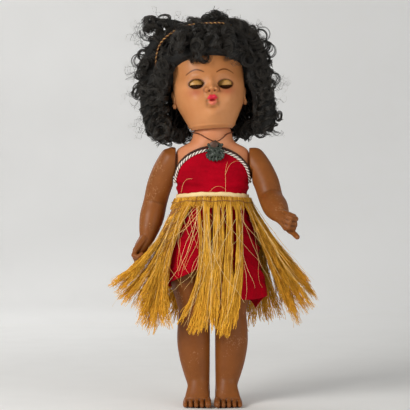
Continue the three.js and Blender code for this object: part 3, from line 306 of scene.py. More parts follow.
def bump(tree, shader, height, depth, strength):
    made = add(tree, "ShaderNodeBump", {"Height": height, "Distance": depth, "Strength": strength})
    tree.links.new(made.outputs[0], shader.inputs["Normal"])


def grained(tree, shader, size, rough, depth, strength):
    """A fine grain that shifts the roughness and stands up as a relief."""
    grain = linked_group(tree, GRAIN, {"Size": size, "Rough Low": rough, "Rough High": rough + 0.15})
    tree.links.new(grain["Roughness"], shader.inputs["Roughness"])
    bump(tree, shader, grain["Height"], depth, strength)


def skin_finish(name, colour, stain, rough, scuff, painted=False):
    """Moulded plastic skin with painted shade in its creases; the head also carries its painted lips, brows,
    blush and eye rims, and painted shade round its eyes, nose and mouth and over its forehead.
    """
    made, tree, shader = finish(name, Specular_IOR_Level=0.2, Subsurface_Weight=0.05,
                                Subsurface_Scale=0.002, Coat_Weight=0.03, Coat_Roughness=0.25)
    tone = linked_group(tree, MOTTLE, {"Colour": colour, "Stain": stain, "Size": 26.0, "Amount": 0.5})
    worn = linked_group(tree, SCUFFS, {"Amount": scuff})
    shade = mix_colour(tree, worn["Mask"], tone["Colour"], srgb(208, 166, 124))
    # Painted shade: creases and hollows darken towards a dark share of the stain colour
    crease_shade = calc(tree, "MULTIPLY", attribute(tree, "hollow"), 0.75)
    shade = mix_colour(tree, crease_shade, shade, darker(stain, 0.3))
    if painted:
        for paint, tint, share in FACE_PAINT:
            mask = calc(tree, "MULTIPLY", attribute(tree, paint), share)
            shade = mix_colour(tree, mask, shade, tint)
    tree.links.new(shade, shader.inputs["Base Color"])
    grained(tree, shader, 700.0, rough, 0.00006, 0.5)
    return made


FACE_PAINT = [
    # Painted shade over the forehead and round the muzzle
    ("painted_face_shade", srgb(150, 92, 44), 0.5),
    ("blush", srgb(158, 66, 48), 0.6),
    # Painted shade round the eye openings
    ("painted_eye_shade", srgb(96, 54, 24), 0.75),
    # Painted shade at the mouth corners and under the lower lip
    ("painted_mouth_shade", srgb(118, 70, 32), 0.7),
    ("lips", srgb(208, 46, 66), 1.0),
    ("lower_lip", srgb(220, 116, 96), 0.85),
    ("mouth", srgb(150, 8, 32), 1.0),
    # Painted shade in the nostrils and in the creases round the nose wings
    ("painted_nostril_shade", srgb(96, 50, 24), 0.85),
    ("brow", srgb(90, 44, 10), 1.0),
    ("socket", srgb(190, 146, 82), 0.9),
    # Eye rims, and painted shade on the walls of each eye opening's lower part
    ("eye_rim_and_socket_shade", srgb(80, 39, 10), 0.95),
]


def cloth_finish(name, colour, dark, threads=1500.0):
    made, tree, shader = finish(name, Roughness=0.82, Specular_IOR_Level=0.06)
    weave = linked_group(tree, WEAVE, {"Threads": threads})
    tone = linked_group(tree, MOTTLE, {"Colour": colour, "Stain": dark, "Size": 34.0, "Amount": 0.45})
    between = calc(tree, "MULTIPLY", weave["Thread"], 0.22)
    shade = mix_colour(tree, between, tone["Colour"], dark)
    tree.links.new(shade, shader.inputs["Base Color"])
    bump(tree, shader, weave["Height"], 0.00012, 0.6)
    return made


def strand_finish(name, dark, light, tip, tip_share, rough, specular=0.4):
    made, tree, shader = finish(name, Specular_IOR_Level=specular)
    tone = linked_group(tree, STRAND, {"Dark": dark, "Light": light, "Tip": tip, "Tip Share": tip_share})
    tree.links.new(tone["Colour"], shader.inputs["Base Color"])
    uneven = spread(tree, tone["Streak"], 0.0, 1.0, rough, rough + 0.18)
    tree.links.new(uneven, shader.inputs["Roughness"])
    return made


def plies_finish(name, colours, rough, metal=0.0):
    """Twisted cord: each ply has its own colour, read from the cord's ply number."""
    made, tree, shader = finish(name, Metallic=metal, Specular_IOR_Level=0.4)
    ramp = add(tree, "ShaderNodeValToRGB", {0: attribute(tree, "ply")})
    plies = ramp.color_ramp
    plies.interpolation = "CONSTANT"
    while len(plies.elements) < len(colours):
        plies.elements.new(0.5)
    for index, colour in enumerate(colours):
        plies.elements[index].position = index / len(colours)
        plies.elements[index].color = colour
    tone = linked_group(tree, MOTTLE, {"Colour": ramp.outputs["Color"], "Stain": darker(colours[0], 0.6),
                                       "Size": 260.0, "Amount": 0.4})
    tree.links.new(tone["Colour"], shader.inputs["Base Color"])
    grained(tree, shader, 2600.0, rough, 0.00008, 0.8)
    return made


def plain_finish(name, colour, stain, rough, metal=0.0, coat=0.0, grain=900.0, size=60.0, depth=0.00005):
    """Wood, wire, rubber and the like: mottled, grained, and with painted shade in the hollows of a carving.
    """
    made, tree, shader = finish(name, Metallic=metal, Coat_Weight=coat, Coat_Roughness=0.12)
    tone = linked_group(tree, MOTTLE, {"Colour": colour, "Stain": stain, "Size": size, "Amount": 0.6})
    # Painted shade: the hollows of a carving darken almost to black
    hollow_shade = calc(tree, "MULTIPLY", attribute(tree, "hollow"), 0.9)
    shade = mix_colour(tree, hollow_shade, tone["Colour"], darker(colour, 0.12))
    tree.links.new(shade, shader.inputs["Base Color"])
    grained(tree, shader, grain, rough, depth, 0.7)
    return made


SKIN_LIGHT = skin_finish("chest skin", srgb(202, 134, 94), srgb(186, 112, 72), 0.36, 0.1)
SKIN_FACE = skin_finish("face skin", srgb(198, 136, 88), srgb(180, 114, 66), 0.32, 0.08, painted=True)
SKIN_DARK = skin_finish("limb skin", srgb(133, 77, 32), srgb(106, 57, 21), 0.38, 0.3)
RED_CLOTH = cloth_finish("red cloth", srgb(178, 0, 27), srgb(104, 0, 12))
TAPE = cloth_finish("waistband tape", srgb(240, 216, 164), srgb(206, 172, 112), 900.0)
CAP_NET = cloth_finish("wig cap net", srgb(24, 20, 16), srgb(10, 8, 6), 700.0)
HAIR = strand_finish("curled hair", srgb(11, 10, 8), srgb(38, 33, 26), srgb(50, 43, 33), 0.4, 0.34, 0.45)
HAIR_UNDER = plain_finish("under hair", srgb(11, 10, 8), srgb(22, 20, 16), 0.85, grain=1500.0, depth=0.0006)
RAFFIA = strand_finish("raffia", srgb(146, 82, 10), srgb(255, 200, 76), srgb(255, 190, 58), 0.5, 0.6, 0.08)
STRAY = strand_finish("stray raffia", srgb(222, 172, 92), srgb(250, 224, 160), srgb(236, 186, 104),
                      0.3, 0.5, 0.2)
BROWN_FIBRE = strand_finish("brown fibre", srgb(110, 62, 26), srgb(190, 130, 70), srgb(120, 70, 34), 0.3, 0.5)
LASH = strand_finish("lashes", srgb(44, 22, 7), srgb(74, 40, 14), srgb(66, 34, 10), 0.3, 0.6, 0.1)
EYELID = plain_finish("eyelid paint", srgb(190, 143, 72), srgb(156, 108, 48), 0.32, size=180.0)
EYE = plain_finish("eye gloss", srgb(50, 26, 9), srgb(84, 46, 18), 0.12, coat=0.3, size=240.0)
EDGING = plies_finish("edging braid", [srgb(58, 28, 13), srgb(78, 40, 18), srgb(42, 19, 9)], 0.6)
TRIM = plies_finish("trim cord", [srgb(255, 246, 232), srgb(46, 10, 8)] * 2, 0.5)
BAND = plies_finish("headband cord", [srgb(112, 66, 32), srgb(70, 34, 18), srgb(206, 160, 92)], 0.35, 0.2)
BROWN_TWIST = plies_finish("stitching thread", [srgb(150, 98, 40), srgb(176, 122, 52)], 0.6)
THONG = plies_finish("neck thong", [srgb(106, 50, 18), srgb(84, 38, 13)], 0.7)
PENDANT = plain_finish("pendant", srgb(46, 58, 44), srgb(3, 5, 4), 0.34, coat=0.03, size=620.0, depth=0.0004)
PENDANT_CAP = plain_finish("pendant top", srgb(84, 52, 34), srgb(40, 30, 22), 0.4, size=330.0)
WIRE = plain_finish("wire", srgb(160, 160, 158), srgb(120, 112, 100), 0.3, metal=1.0)
LEAD = plain_finish("eye weight", srgb(96, 97, 101), srgb(66, 66, 70), 0.5, metal=0.8)
DOWEL = plain_finish("dowel", srgb(188, 146, 92), srgb(150, 106, 60), 0.6, size=120.0)
RUBBER = plain_finish("covered elastic", srgb(44, 42, 40), srgb(26, 25, 24), 0.75, grain=2400.0)
BRACKET = plain_finish("eye bracket", srgb(140, 132, 120), srgb(112, 104, 94), 0.6)


# Mesh helpers; points are in millimetres about the body's upright axis
def round_turns(count):
    """Angles all the way round, evenly spaced."""
    return np.linspace(0, FULL_TURN, count, endpoint=False)


def unit(rows):
    """Directions of length one."""
    return rows / np.linalg.norm(rows, axis=1)[:, None]


def step_lengths(points):
    return np.linalg.norm(np.diff(points, axis=0), axis=1)


def through(rows):
    """A smooth curve through rows of numbers, keyed by their first column."""
    table = np.array(rows, float)
    keys = table[:, 0]
    values = table[:, 1:]
    after = np.minimum(np.arange(len(keys)) + 1, len(keys) - 1)
    before = np.maximum(np.arange(len(keys)) - 1, 0)
    slopes = (values[after] - values[before]) / (keys[after] - keys[before])[:, None]

    def row_at(key):
        key = np.asarray(key, float)
        i = np.clip(np.searchsorted(keys, key) - 1, 0, len(keys) - 2)
        span = keys[i + 1] - keys[i]
        t = np.clip((key - keys[i]) / span, 0, 1)[..., None]
        bend = slopes[i] * span[..., None] * t * (1 - t) ** 2
        settle = slopes[i + 1] * span[..., None] * t * t * (1 - t)
        return values[i] + (values[i + 1] - values[i]) * t * t * (3 - 2 * t) + bend - settle

    return row_at


def smooth_line(points, count):
    """Points spread along a smooth line through a few given ones."""
    points = np.array(points, float)
    steps = np.concatenate([[0], np.cumsum(step_lengths(points) ** 0.5)])
    line = through(np.column_stack([steps, points]))
    fine = line(np.linspace(0, steps[-1], count * 6))
    run = np.concatenate([[0], np.cumsum(step_lengths(fine))])
    even = np.linspace(0, run[-1], count)
    return np.column_stack([np.interp(even, run, fine[:, k]) for k in range(3)])


def ring_faces(rows, sides, wrap=False):
    """Faces between rings of points; the ends are closed, or meet each other."""
    faces = []
    for r in range(rows if wrap else rows - 1):
        below = r * sides
        above = ((r + 1) % rows) * sides
        for i in range(sides):
            j = (i + 1) % sides
            faces.append((below + i, below + j, above + j, above + i))
    if not wrap:
        faces.append(tuple(range(sides - 1, -1, -1)))
        faces.append(tuple((rows - 1) * sides + i for i in range(sides)))
    return faces


def placed(name, data):
    """A new object in the scene."""
    made = bpy.data.objects.new(name, data)
    bpy.context.scene.collection.objects.link(made)
    return made


def new_piece(name, points, faces, material):
    """A smooth-shaded mesh in the part's frame, with its faces turned outwards."""
    points = np.asarray(points, float) + [0, BODY_BACK, 0]
    mesh = bpy.data.meshes.new(name)
    mesh.from_pydata((points * MM).tolist(), [], faces)
    work = bmesh.new()
    work.from_mesh(mesh)
    bmesh.ops.remove_doubles(work, verts=work.verts, dist=1e-7)
    bmesh.ops.recalc_face_normals(work, faces=work.faces)
    work.to_mesh(mesh)
    work.free()
    mesh.polygons.foreach_set("use_smooth", [True] * len(mesh.polygons))
    mesh.materials.append(material)
    return placed(name, mesh)


def from_rings(name, rings, material, wrap=False):
    rings = np.asarray(rings, float)
    faces = ring_faces(rings.shape[0], rings.shape[1], wrap)
    return new_piece(name, rings.reshape(-1, 3), faces, material)


def settled(made):
    """The piece with its modifiers applied, as a plain mesh."""
    graph = bpy.context.evaluated_depsgraph_get()
    mesh = bpy.data.meshes.new_from_object(made.evaluated_get(graph))
    made.modifiers.clear()
    made.data = mesh
    return made


def cut_away(made, *cutters):
    """Takes the cutters out of the piece."""
    for cutter in cutters:
        modifier = made.modifiers.new("cut", "BOOLEAN")
        modifier.operation = "DIFFERENCE"
        modifier.solver = "EXACT"
        modifier.object = cutter
        settled(made)
        bpy.data.objects.remove(cutter)
    made.data.polygons.foreach_set("use_smooth", [True] * len(made.data.polygons))
    return made


def moulded(name, parts, voxel, rounds, material):
    """Several closed shapes run together into one soft moulding."""
    points = []
    faces = []
    for part_points, part_faces in parts:
        faces += [tuple(len(points) + i for i in face) for face in part_faces]
        points += np.asarray(part_points, float).tolist()
    made = new_piece(name, points, faces, material)
    remesh = made.modifiers.new("run together", "REMESH")
    remesh.mode = "VOXEL"
    remesh.voxel_size = voxel * MM
    remesh.use_smooth_shade = True
    soften = made.modifiers.new("soften", "SMOOTH")
    soften.factor = 0.5
    soften.iterations = rounds
    settled(made)
    made.data.materials.clear()
    made.data.materials.append(material)
    return made


def thinned(made, share):
    """Keeps a share of the faces, fewer where the surface is nearly flat."""
    modifier = made.modifiers.new("thin", "DECIMATE")
    modifier.ratio = share
    return settled(made)


def rings_part(rings):
    rings = np.asarray(rings, float)
    return rings.reshape(-1, 3), ring_faces(rings.shape[0], rings.shape[1])


def peg_part(start, end, radius, tip_radius=None, sides=18):
    """A round-ended finger or toe."""
    start = np.array(start, float)
    end = np.array(end, float)
    tip_radius = tip_radius or radius
    along = (end - start) / np.linalg.norm(end - start)
    side = np.cross(along, [0.1, 1, 0.2])
    side /= np.linalg.norm(side)
    up = np.cross(along, side)
    turns = round_turns(sides)
    rings = []
    for up_turn in np.radians([-80, -55, -25, 0, 0, 25, 55, 80]):
        first = len(rings) < 4
        size = radius if first else tip_radius
        middle = (start if first else end) + along * size * math.sin(up_turn)
        spoke = size * math.cos(up_turn)
        rings.append([middle + side * spoke * math.cos(a) + up * spoke * math.sin(a) for a in turns])
    return rings_part(rings)


def oval_part(centre, radii, sides=20, rows=12):
    turns = round_turns(sides)
    heights = np.linspace(-math.pi / 2 + 0.15, math.pi / 2 - 0.15, rows)
    rings = [[[centre[0] + radii[0] * math.cos(h) * math.cos(a),
               centre[1] + radii[1] * math.cos(h) * math.sin(a),
               centre[2] + radii[2] * math.sin(h)] for a in turns] for h in heights]
    return rings_part(rings)


def oval_points(section, turn, height, grow=0.0):
    """Points on an oval of a half width, a front and a back depth; turn -90 degrees is the front."""
    depth = np.where(np.sin(turn) < 0, section[..., 1], section[..., 2]) + grow
    x = (section[..., 0] + grow) * np.cos(turn)
    return np.stack([x, depth * np.sin(turn), np.broadcast_to(height, x.shape)], axis=-1)


def write_cloth_map(made, across, along):
    """The cloth's own measure in metres at each vertex, for its weave."""
    layer = made.data.uv_layers.new(name="cloth")
    index = np.zeros(len(made.data.loops), np.int32)
    made.data.loops.foreach_get("vertex_index", index)
    values = np.column_stack([across, along])[index] * MM
    layer.data.foreach_set("uv", values.astype(np.float32).ravel())


def write_mask(made, name, values):
    layer = made.data.attributes.new(name, "FLOAT", "POINT")
    layer.data.foreach_set("value", np.asarray(values, np.float32))


def points_of(made):
    points = np.zeros(len(made.data.vertices) * 3)
    made.data.vertices.foreach_get("co", points)
    return points.reshape(-1, 3) / MM - [0, BODY_BACK, 0]


def dress(made, body, slot, *nodes):
    """The piece moves with a body and stands for CAD nodes, which it hides; the slot is not used."""
    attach(made, body)
    if nodes:
        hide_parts(*nodes)
    return made


# Torso
TORSO_BOTTOM = HIP_HEIGHT - 19
torso_at = through([
    (TORSO_BOTTOM, 5, 5, 5),
    (HIP_HEIGHT - 14, 15, 13, 14),
    (HIP_HEIGHT, 31, 20, 22),
    (HIP_HEIGHT + 23, 37, 25, 24),
    (WAIST_HEIGHT, 33, 22, 19),
    (SHOULDER_HEIGHT - 15, 36.2, 24, 19.5),
    (SHOULDER_HEIGHT, 37.9, 22, 18.5),
    (SHOULDER_HEIGHT + 12, 34.4, 18.5, 16.5),
    (NECK_HEIGHT - 4, 22.5, 18.5, 17.5),
    (NECK_HEIGHT + 5, NECK_R, NECK_R, NECK_R),
])


def on_torso(turn, height, grow):
    return oval_points(torso_at(height), turn, height, grow)


HIP_ROOM = 0.6
FAR_OUT = 90
FAR_DOWN = -60


def hip_room(side):
    """The room for a thigh beside the pelvis: open below the hip and in front of it."""
    radius = LEG_TOP_R + HIP_ROOM
    arc = [(radius * math.cos(a), radius * math.sin(a)) for a in np.linspace(0, math.pi / 2, 16)]
    outline = [(-FAR_OUT, FAR_DOWN), (FAR_OUT, FAR_DOWN), (FAR_OUT, 0)] + arc + [(-FAR_OUT, radius)]
    ends = (side * PELVIS_HALF, side * FAR_OUT)
    rings = [[(x, y, HIP_HEIGHT + z) for y, z in outline] for x in ends]
    return from_rings("hip room", rings, SKIN_LIGHT)


def torso():
    turn = round_turns(96)
    rings = [on_torso(turn, z, 0.0) for z in np.linspace(TORSO_BOTTOM, NECK_HEIGHT + 5, 90)]
    for up in np.radians([25, 33, 41, 50, 58]):
        ball = np.full(3, NECK_BALL_R * math.cos(up))
        rings.append(oval_points(ball, turn, NECK_HEIGHT + NECK_BALL_R * math.sin(up)))
    rings = np.array(rings)
    shoulder = rings[..., 2] > SHOULDER_HEIGHT - ARM_TOP_R - 1
    flat = np.clip(rings[..., 0], -SHOULDER_HALF, SHOULDER_HALF)
    rings[..., 0] = np.where(shoulder, flat, rings[..., 0])
    made = from_rings("torso_skin", rings, SKIN_LIGHT)
    cut_away(made, hip_room(1), hip_room(-1))
    return dress(made, "torso_body", "skin", "torso")


# Limbs
def limb_rings(rows, count, sides):
    """Oval rings square to a line; rows give x, y, z, half width, front and back depth."""
    table = np.array(rows, float)
    row_at = through(np.column_stack([np.arange(len(table)), table]))
    s = np.linspace(0, len(table) - 1, count)
    here = row_at(s)
    ahead = row_at(np.minimum(s + 0.05, len(table) - 1))[:, :3]
    behind = row_at(np.maximum(s - 0.05, 0))[:, :3]
    along = unit(ahead - behind)
    side = unit(np.array([1.0, 0, 0]) - along * along[:, :1])
    front = np.cross(along, side)
    front *= np.where(front[:, 1:2] > 0, -1, 1)
    turn = round_turns(sides)
    depth = np.where(np.sin(turn)[None] > 0, here[:, 4:5], here[:, 5:6]) * np.sin(turn)[None]
    across = here[:, 3:4] * np.cos(turn)[None]
    return here[:, None, :3] + side[:, None] * across[..., None] + front[:, None] * depth[..., None]


FOOT_MIDDLE = 15.6
FOOT_HALF = 14.5
TOE_ROOT = -22.0
TOE_TIP = -28.0
HEEL_BACK = 17.0
LEG_ROWS = [
    (24, 0, KNEE_HEIGHT + 43, 18, 19.5, 19.5),
    (23.5, 0, KNEE_HEIGHT + 28, 17.6, 18, 18.5),
    (20, 0, KNEE_HEIGHT + 13, 16.5, 16.5, 17),
    (18.2, 0, KNEE_HEIGHT, 15.5, 15.8, 15.5),
    (18.7, 0, 78, 16.2, 15.2, 16.8),
    (18.9, 0, 63, 16.4, 14.8, 18),
    (17.8, 0, 48, 15.3, 14, 17),
    (15.8, 0, 33, 13.3, 12.8, 14.8),
    (13.5, 0, 18, 11, 11.5, 12.5),
    (13.3, 0, 8, 11, 12, 13),
]
TOE_RADII = [3.5, 2.8, 2.75, 2.65, 2.5]
INSTEP_ROWS = [
    (14.8, 0, 38, 8.5, 8, 8),
    (14.2, -2, 27, 10, 9.2, 8),
    (14.4, -6.5, 17.5, 11, 8.8, 7.5),
    (15.0, -12, 10.5, 12, 7, 6),
    (15.5, -18, 6, 12.5, 4, 4),
]


def toe_across(i):
    return FOOT_MIDDLE - FOOT_HALF + 3.6 + i * 5.9 - 0.1 * i * i


def foot_parts():
    foot_at = through([
        (TOE_ROOT + 1, FOOT_HALF - 1.5, 7.5),
        (TOE_ROOT + 4, FOOT_HALF - 0.5, 9.5),
        (-12, FOOT_HALF - 1, 13),
        (0, FOOT_HALF - 3, 18),
        (HEEL_BACK - 5, FOOT_HALF - 4.5, 15),
        (HEEL_BACK, FOOT_HALF - 9, 9),
    ])
    sides = 40
    turn = round_turns(sides)
    rings = []
    for y in np.linspace(TOE_ROOT + 1, HEEL_BACK, 30):
        half, high = foot_at(y)
        middle = FOOT_MIDDLE - 2 * (y - TOE_ROOT) / (HEEL_BACK - TOE_ROOT)
        z = np.maximum((high - 1.5) / 2 + (high + 1.5) / 2 * np.sin(turn), 0.25)
        rings.append(np.column_stack([middle + half * np.cos(turn), np.full(sides, y), z]))
    parts = [rings_part(rings), rings_part(limb_rings(INSTEP_ROWS, 24, sides))]
    for i, radius in enumerate(TOE_RADII):
        x = toe_across(i)
        reach = TOE_TIP + 0.7 * i
        root = (x, TOE_ROOT + 4, radius + 2.6)
        parts.append(peg_part(root, (x, reach + 2.4, radius + 1.2), radius * 0.96))
        parts.append(peg_part((x, reach + 3, radius + 1.2), (x, reach, radius + 0.2), radius))
    return parts


def dent(points, centre, radius, depth):
    """Presses a soft dimple into the points near a place, straight back from the front."""
    near = np.exp(-np.sum(((points - centre) / radius) ** 2, axis=1))
    points[:, 1] += depth * near


def write_points(made, points):
    moved = (points + [0, BODY_BACK, 0]) * MM
    made.data.vertices.foreach_set("co", moved.astype(np.float32).ravel())
    made.data.update()


def softened(made, points, rounds):
    """The points after each has moved to the middle of its neighbours, some rounds over."""
    edges = np.zeros(len(made.data.edges) * 2, np.int32)
    made.data.edges.foreach_get("vertices", edges)
    edges = edges.reshape(-1, 2)
    count = np.maximum(np.bincount(edges.ravel(), minlength=len(points)), 1)[:, None]
    for _ in range(rounds):
        total = np.zeros_like(points)
        np.add.at(total, edges[:, 0], points[edges[:, 1]])
        np.add.at(total, edges[:, 1], points[edges[:, 0]])
        points = total / count
    return points


def write_crease_shade(made, rounds, depth):
    """Marks creases for painted shade: points that lie deeper than the smoothed surface round them."""
    points = points_of(made)
    normals = np.zeros(len(points) * 3)
    made.data.vertices.foreach_get("normal", normals)
    deeper = np.sum((softened(made, points, rounds) - points) * normals.reshape(-1, 3), axis=1)
    write_mask(made, "hollow", np.clip(deeper / depth, 0, 1))


def part_toes(points):
    """Dents the nails and cuts the narrow gaps between the toes."""
    for i, radius in enumerate(TOE_RADII):
        nail = (toe_across(i), TOE_TIP + 0.7 * i - radius, radius + 1.8)
        dent(points, nail, (radius * 0.62, 1.4, radius * 0.5), 0.6)
    for i in range(len(TOE_RADII) - 1):
        gap = (toe_across(i) + TOE_RADII[i] + toe_across(i + 1) - TOE_RADII[i + 1]) / 2
        before = np.clip((TOE_ROOT + 2 - points[:, 1]) / 4, 0, 1)
        groove = np.exp(-(((points[:, 0] - gap) / 0.75) ** 2)) * before
        points[:, 1] += 3.6 * groove
        points[:, 2] -= 1.2 * groove * (points[:, 2] > 3)


def limb_done(made, points, side, name, keep):
    """Moves a limb's points, mirrored to its side, marks its creases for painted shade and keeps a share of
    its faces.
    """
    points[:, 0] *= side
    write_points(made, points)
    if side < 0:
        made.data.flip_normals()
    write_crease_shade(made, 10, 0.3)
    thinned(made, keep)
    return dress(made, name + "_body", "skin_dark", name)


def leg(side, name):
    tops = [
        (24, 0, HIP_HEIGHT + LEG_TOP_R * math.sin(up), 18 - 3 * math.sin(up),
         LEG_TOP_R * math.cos(up), LEG_TOP_R * math.cos(up))
        for up in np.radians([75, 55, 30, 0])
    ]
    rings = limb_rings(tops + LEG_ROWS, 110, 64)
    hip_face = PELVIS_HALF + GAP
    x = rings[..., 0]
    z = rings[..., 2]
    ease = np.clip((z - (HIP_HEIGHT - LEG_TOP_R - 22)) / 15, 0, 1)
    rings[..., 0] = np.maximum(x, np.where(ease > 0, hip_face - 7 * (1 - ease), -50))
    made = moulded(name + "_skin", [rings_part(rings)] + foot_parts(), 0.62, 5, SKIN_DARK)
    points = points_of(made)
    dent(points, (15.5, -16, KNEE_HEIGHT + 18), (4.5, 9, 2.6), 1.1)
    dent(points, (20.5, -16, KNEE_HEIGHT + 14), (4, 9, 2.2), 0.9)
    dent(points, (18.5, -16, KNEE_HEIGHT - 7), (8, 9, 3), 0.7)
    behind = np.clip((points[:, 1] - TOE_ROOT - 3) / 3, 0, 1)
    ankle = np.exp(-(((points[:, 2] - 21) / 11) ** 2)) * behind
    points += (softened(made, points, 40) - points) * ankle[:, None]
    part_toes(points)
    points[:, 2] = np.maximum(points[:, 2], 0)
    return limb_done(made, points, side, name, 0.35)


FINGER_R = 2.7
FINGER_GAP = 4.5
HAND_ROLL = 70.0
# Joints of a finger, each from the one before: along the hand and towards the palm
POINTING = [(8.5, 0.6), (7.5, 2.0)]
CLOSED = [(5.5, 1.2), (0.4, 6.0), (-4.2, 1.6)]
ARM_ROWS = [
    (0.5, 0, ARM_TOP_R - 0.5, 5, 4, 4),
    (2, 0, 7.5, 11, 11.2, 11.2),
    (5.6, 0, -1, 13, ARM_TOP_R, ARM_TOP_R),
    (11.6, 0, -12, 12.8, 13.2, 13.2),
    (17, 0, -26, 12.6, 12.6, 12.6),
    (21, 1.5, -42, 12, 11.6, 12),
    (24.5, -6, -56, 12.3, 12.2, 12.2),
    (27.2, -14, -67, 10.2, 9.8, 9.8),
    (29.5, -19.5, -75, 7.7, 6.8, 6.8),
    (34.2, -24.5, -82, 7.2, 6.2, 6.2),
    (39, -29.5, -89, 5.2, 5.2, 5.2),
    (41, -31.5, -91.8, 3, 3, 3),
]


def hand_parts():
    """Palm, fingers and thumb: the first finger points and the others close over the palm."""
    wrist = np.array(ARM_ROWS[8][:3], float) + [SHOULDER_HALF, 0, 0]
    knuckles = np.array(ARM_ROWS[10][:3], float) + [SHOULDER_HALF, 0, 0]
    along = (knuckles - wrist) / np.linalg.norm(knuckles - wrist)
    level = np.array([1.0, 0, 0]) - along * along[0]
    level /= np.linalg.norm(level)
    upright = np.cross(along, level)
    roll = math.radians(HAND_ROLL)
    side = level * math.cos(roll) + upright * math.sin(roll)
    inwards = upright * math.cos(roll) - level * math.sin(roll)
    parts = []
    for i in range(4):
        place = knuckles + side * FINGER_GAP * (i - 1.5) - along * 0.7 * i
        parts.append(peg_part(wrist + side * 2 * (i - 1.5), place, 4.4, FINGER_R + 0.4))
        for ahead, closed in CLOSED if i else POINTING:
            joint = place + along * ahead + inwards * closed
            parts.append(peg_part(place, joint, FINGER_R, FINGER_R * 0.92))
            place = joint
    thumb = knuckles + inwards * 6.5 - side * 5
    parts.append(peg_part(wrist + inwards * 2.5 - side, thumb, FINGER_R + 0.8, FINGER_R * 0.9))
    return parts


def arm(side, name, forward):
    rows = [(SHOULDER_HALF + row[0],) + row[1:] for row in ARM_ROWS]
    rings = limb_rings(rows, 110, 56)
    face = SHOULDER_HALF + GAP
    drop = np.clip((2 - ARM_TOP_R - rings[..., 2]) / 3, 0, 1)
    rings[..., 0] = np.maximum(rings[..., 0], face + 2.8 * drop)
    made = moulded(name + "_skin", [rings_part(rings)] + hand_parts(), 0.6, 4, SKIN_DARK)
    points = points_of(made)
    turn = math.radians(-forward)
    y = points[:, 1] * math.cos(turn) - points[:, 2] * math.sin(turn)
    z = points[:, 1] * math.sin(turn) + points[:, 2] * math.cos(turn)
    points[:, 1] = y
    points[:, 2] = z + SHOULDER_HEIGHT
    return limb_done(made, points, side, name, 0.5)


# Head
head_at = through([
    (HEAD_BOTTOM, NECK_R + 1.5, NECK_R + 1.5, NECK_R + 0.5),
    (13, 23.5, 25.5, 22.5),
    (20, 27, 30, 26.5),
    (32, 32.6, 34, 33),
    (46, 35.5, 34.5, 38),
    (62, 36, 33.5, 41),
    (80, 35, 31.5, 40),
    (95, 29.5, 26, 34),
    (105, 20.5, 18, 24),
    (HEAD_TOP, 8, 7, 9),
])

# Swellings and hollows of the face: x, height from the eyes, spread across, spread up, rise
FACE = [
    (0, -4.4, 3.4, 3.2, 6.0),
    (4.7, -5.7, 2.1, 2.2, 5.2),
    (2.7, -7.0, 0.9, 0.9, -2.2),
    (7.8, -6.2, 1.1, 2.6, -1.0),
    (0, 2.5, 3.2, 5.5, 2.2),
    (2.4, -13.0, 2.5, 2.0, 3.1),
    (0, -10.2, 0.9, 1.4, -0.6),
    (0, -16.3, 2.7, 0.9, -2.0),
    (0, -19.2, 3.7, 1.8, 2.9),
    (5.2, -16.2, 1.2, 1.9, -0.9),
    (0, -23.2, 5, 1.8, -1.0),
    (0, -29, 7.5, 5, 2.4),
    (19, -14, 8, 9, 2.3),
    (13.5, 0, 7, 5.6, -2.4),
    (14, 10, 9, 3, 0.7),
]


def face_out(x, z):
    out = np.zeros_like(x)
    for middle, up, wide, high, rise in FACE:
        for sign in ((1, -1) if middle else (1,)):
            out += rise * np.exp(-(((x - sign * middle) / wide) ** 2) - ((z - EYE_UP - up) / high) ** 2)
    return out


def head_points(turn, z, grow=0.0, with_face=False):
    points = oval_points(head_at(z), turn, z, grow)
    if with_face:
        points[..., 1] -= face_out(points[..., 0], z) * np.maximum(0, -np.sin(turn))
    points[..., 1] += LEAN * (z - LEAN_FROM)
    return points


def in_head(points):
    """From the head's own frame to the body's: turned, then tilted to the doll's right."""
    points = np.asarray(points, float)
    yaw = math.radians(HEAD_YAW)
    tilt = math.radians(HEAD_TILT)
    x = points[..., 0] * math.cos(yaw) - points[..., 1] * math.sin(yaw)
    y = points[..., 0] * math.sin(yaw) + points[..., 1] * math.cos(yaw)
    z = points[..., 2]
    across = x * math.cos(tilt) - z * math.sin(tilt)
    return np.stack([across, y, x * math.sin(tilt) + z * math.cos(tilt) + NECK_HEIGHT], axis=-1)


def from_head(points):
    """From the body's frame back to the head's own."""
    yaw = math.radians(HEAD_YAW)
    tilt = math.radians(HEAD_TILT)
    up = points[..., 2] - NECK_HEIGHT
    x = points[..., 0] * math.cos(tilt) + up * math.sin(tilt)
    z = up * math.cos(tilt) - points[..., 0] * math.sin(tilt)
    y = points[..., 1]
    across = x * math.cos(yaw) + y * math.sin(yaw)
    return np.stack([across, y * math.cos(yaw) - x * math.sin(yaw), z], axis=-1)


def crowded_turns(count, crowd):
    """Angles all the way round that lie closer together at the front."""
    share = round_turns(count)
    return share - crowd * np.sin(share) - math.pi / 2


def almond(u):
    """Height of the eye opening's edge, as a share, at a share of its half width."""
    return np.maximum(1 - np.abs(u) ** 2.3, 0) ** 0.8


def eye_centre(side):
    return np.array([side * EYE_SPACING, -EYE_FRONT, EYE_UP])


def eye_cutter(side):
    """The almond opening in front of an eye."""
    u = np.cos(np.linspace(0, math.pi, 24))
    edge = np.concatenate([almond(u), -almond(u[::-1])[1:-1]]) * EYE_HALF_HIGH
    wide = np.concatenate([u, u[::-1][1:-1]]) * EYE_HALF_WIDE
    x = side * EYE_SPACING + wide
    z = EYE_UP - side * EYE_LEVEL + edge
    rings = [np.column_stack([x, np.full(len(x), y), z]) for y in (-60.0, -EYE_FRONT)]
    return from_rings("eye opening", in_head(rings), SKIN_FACE)


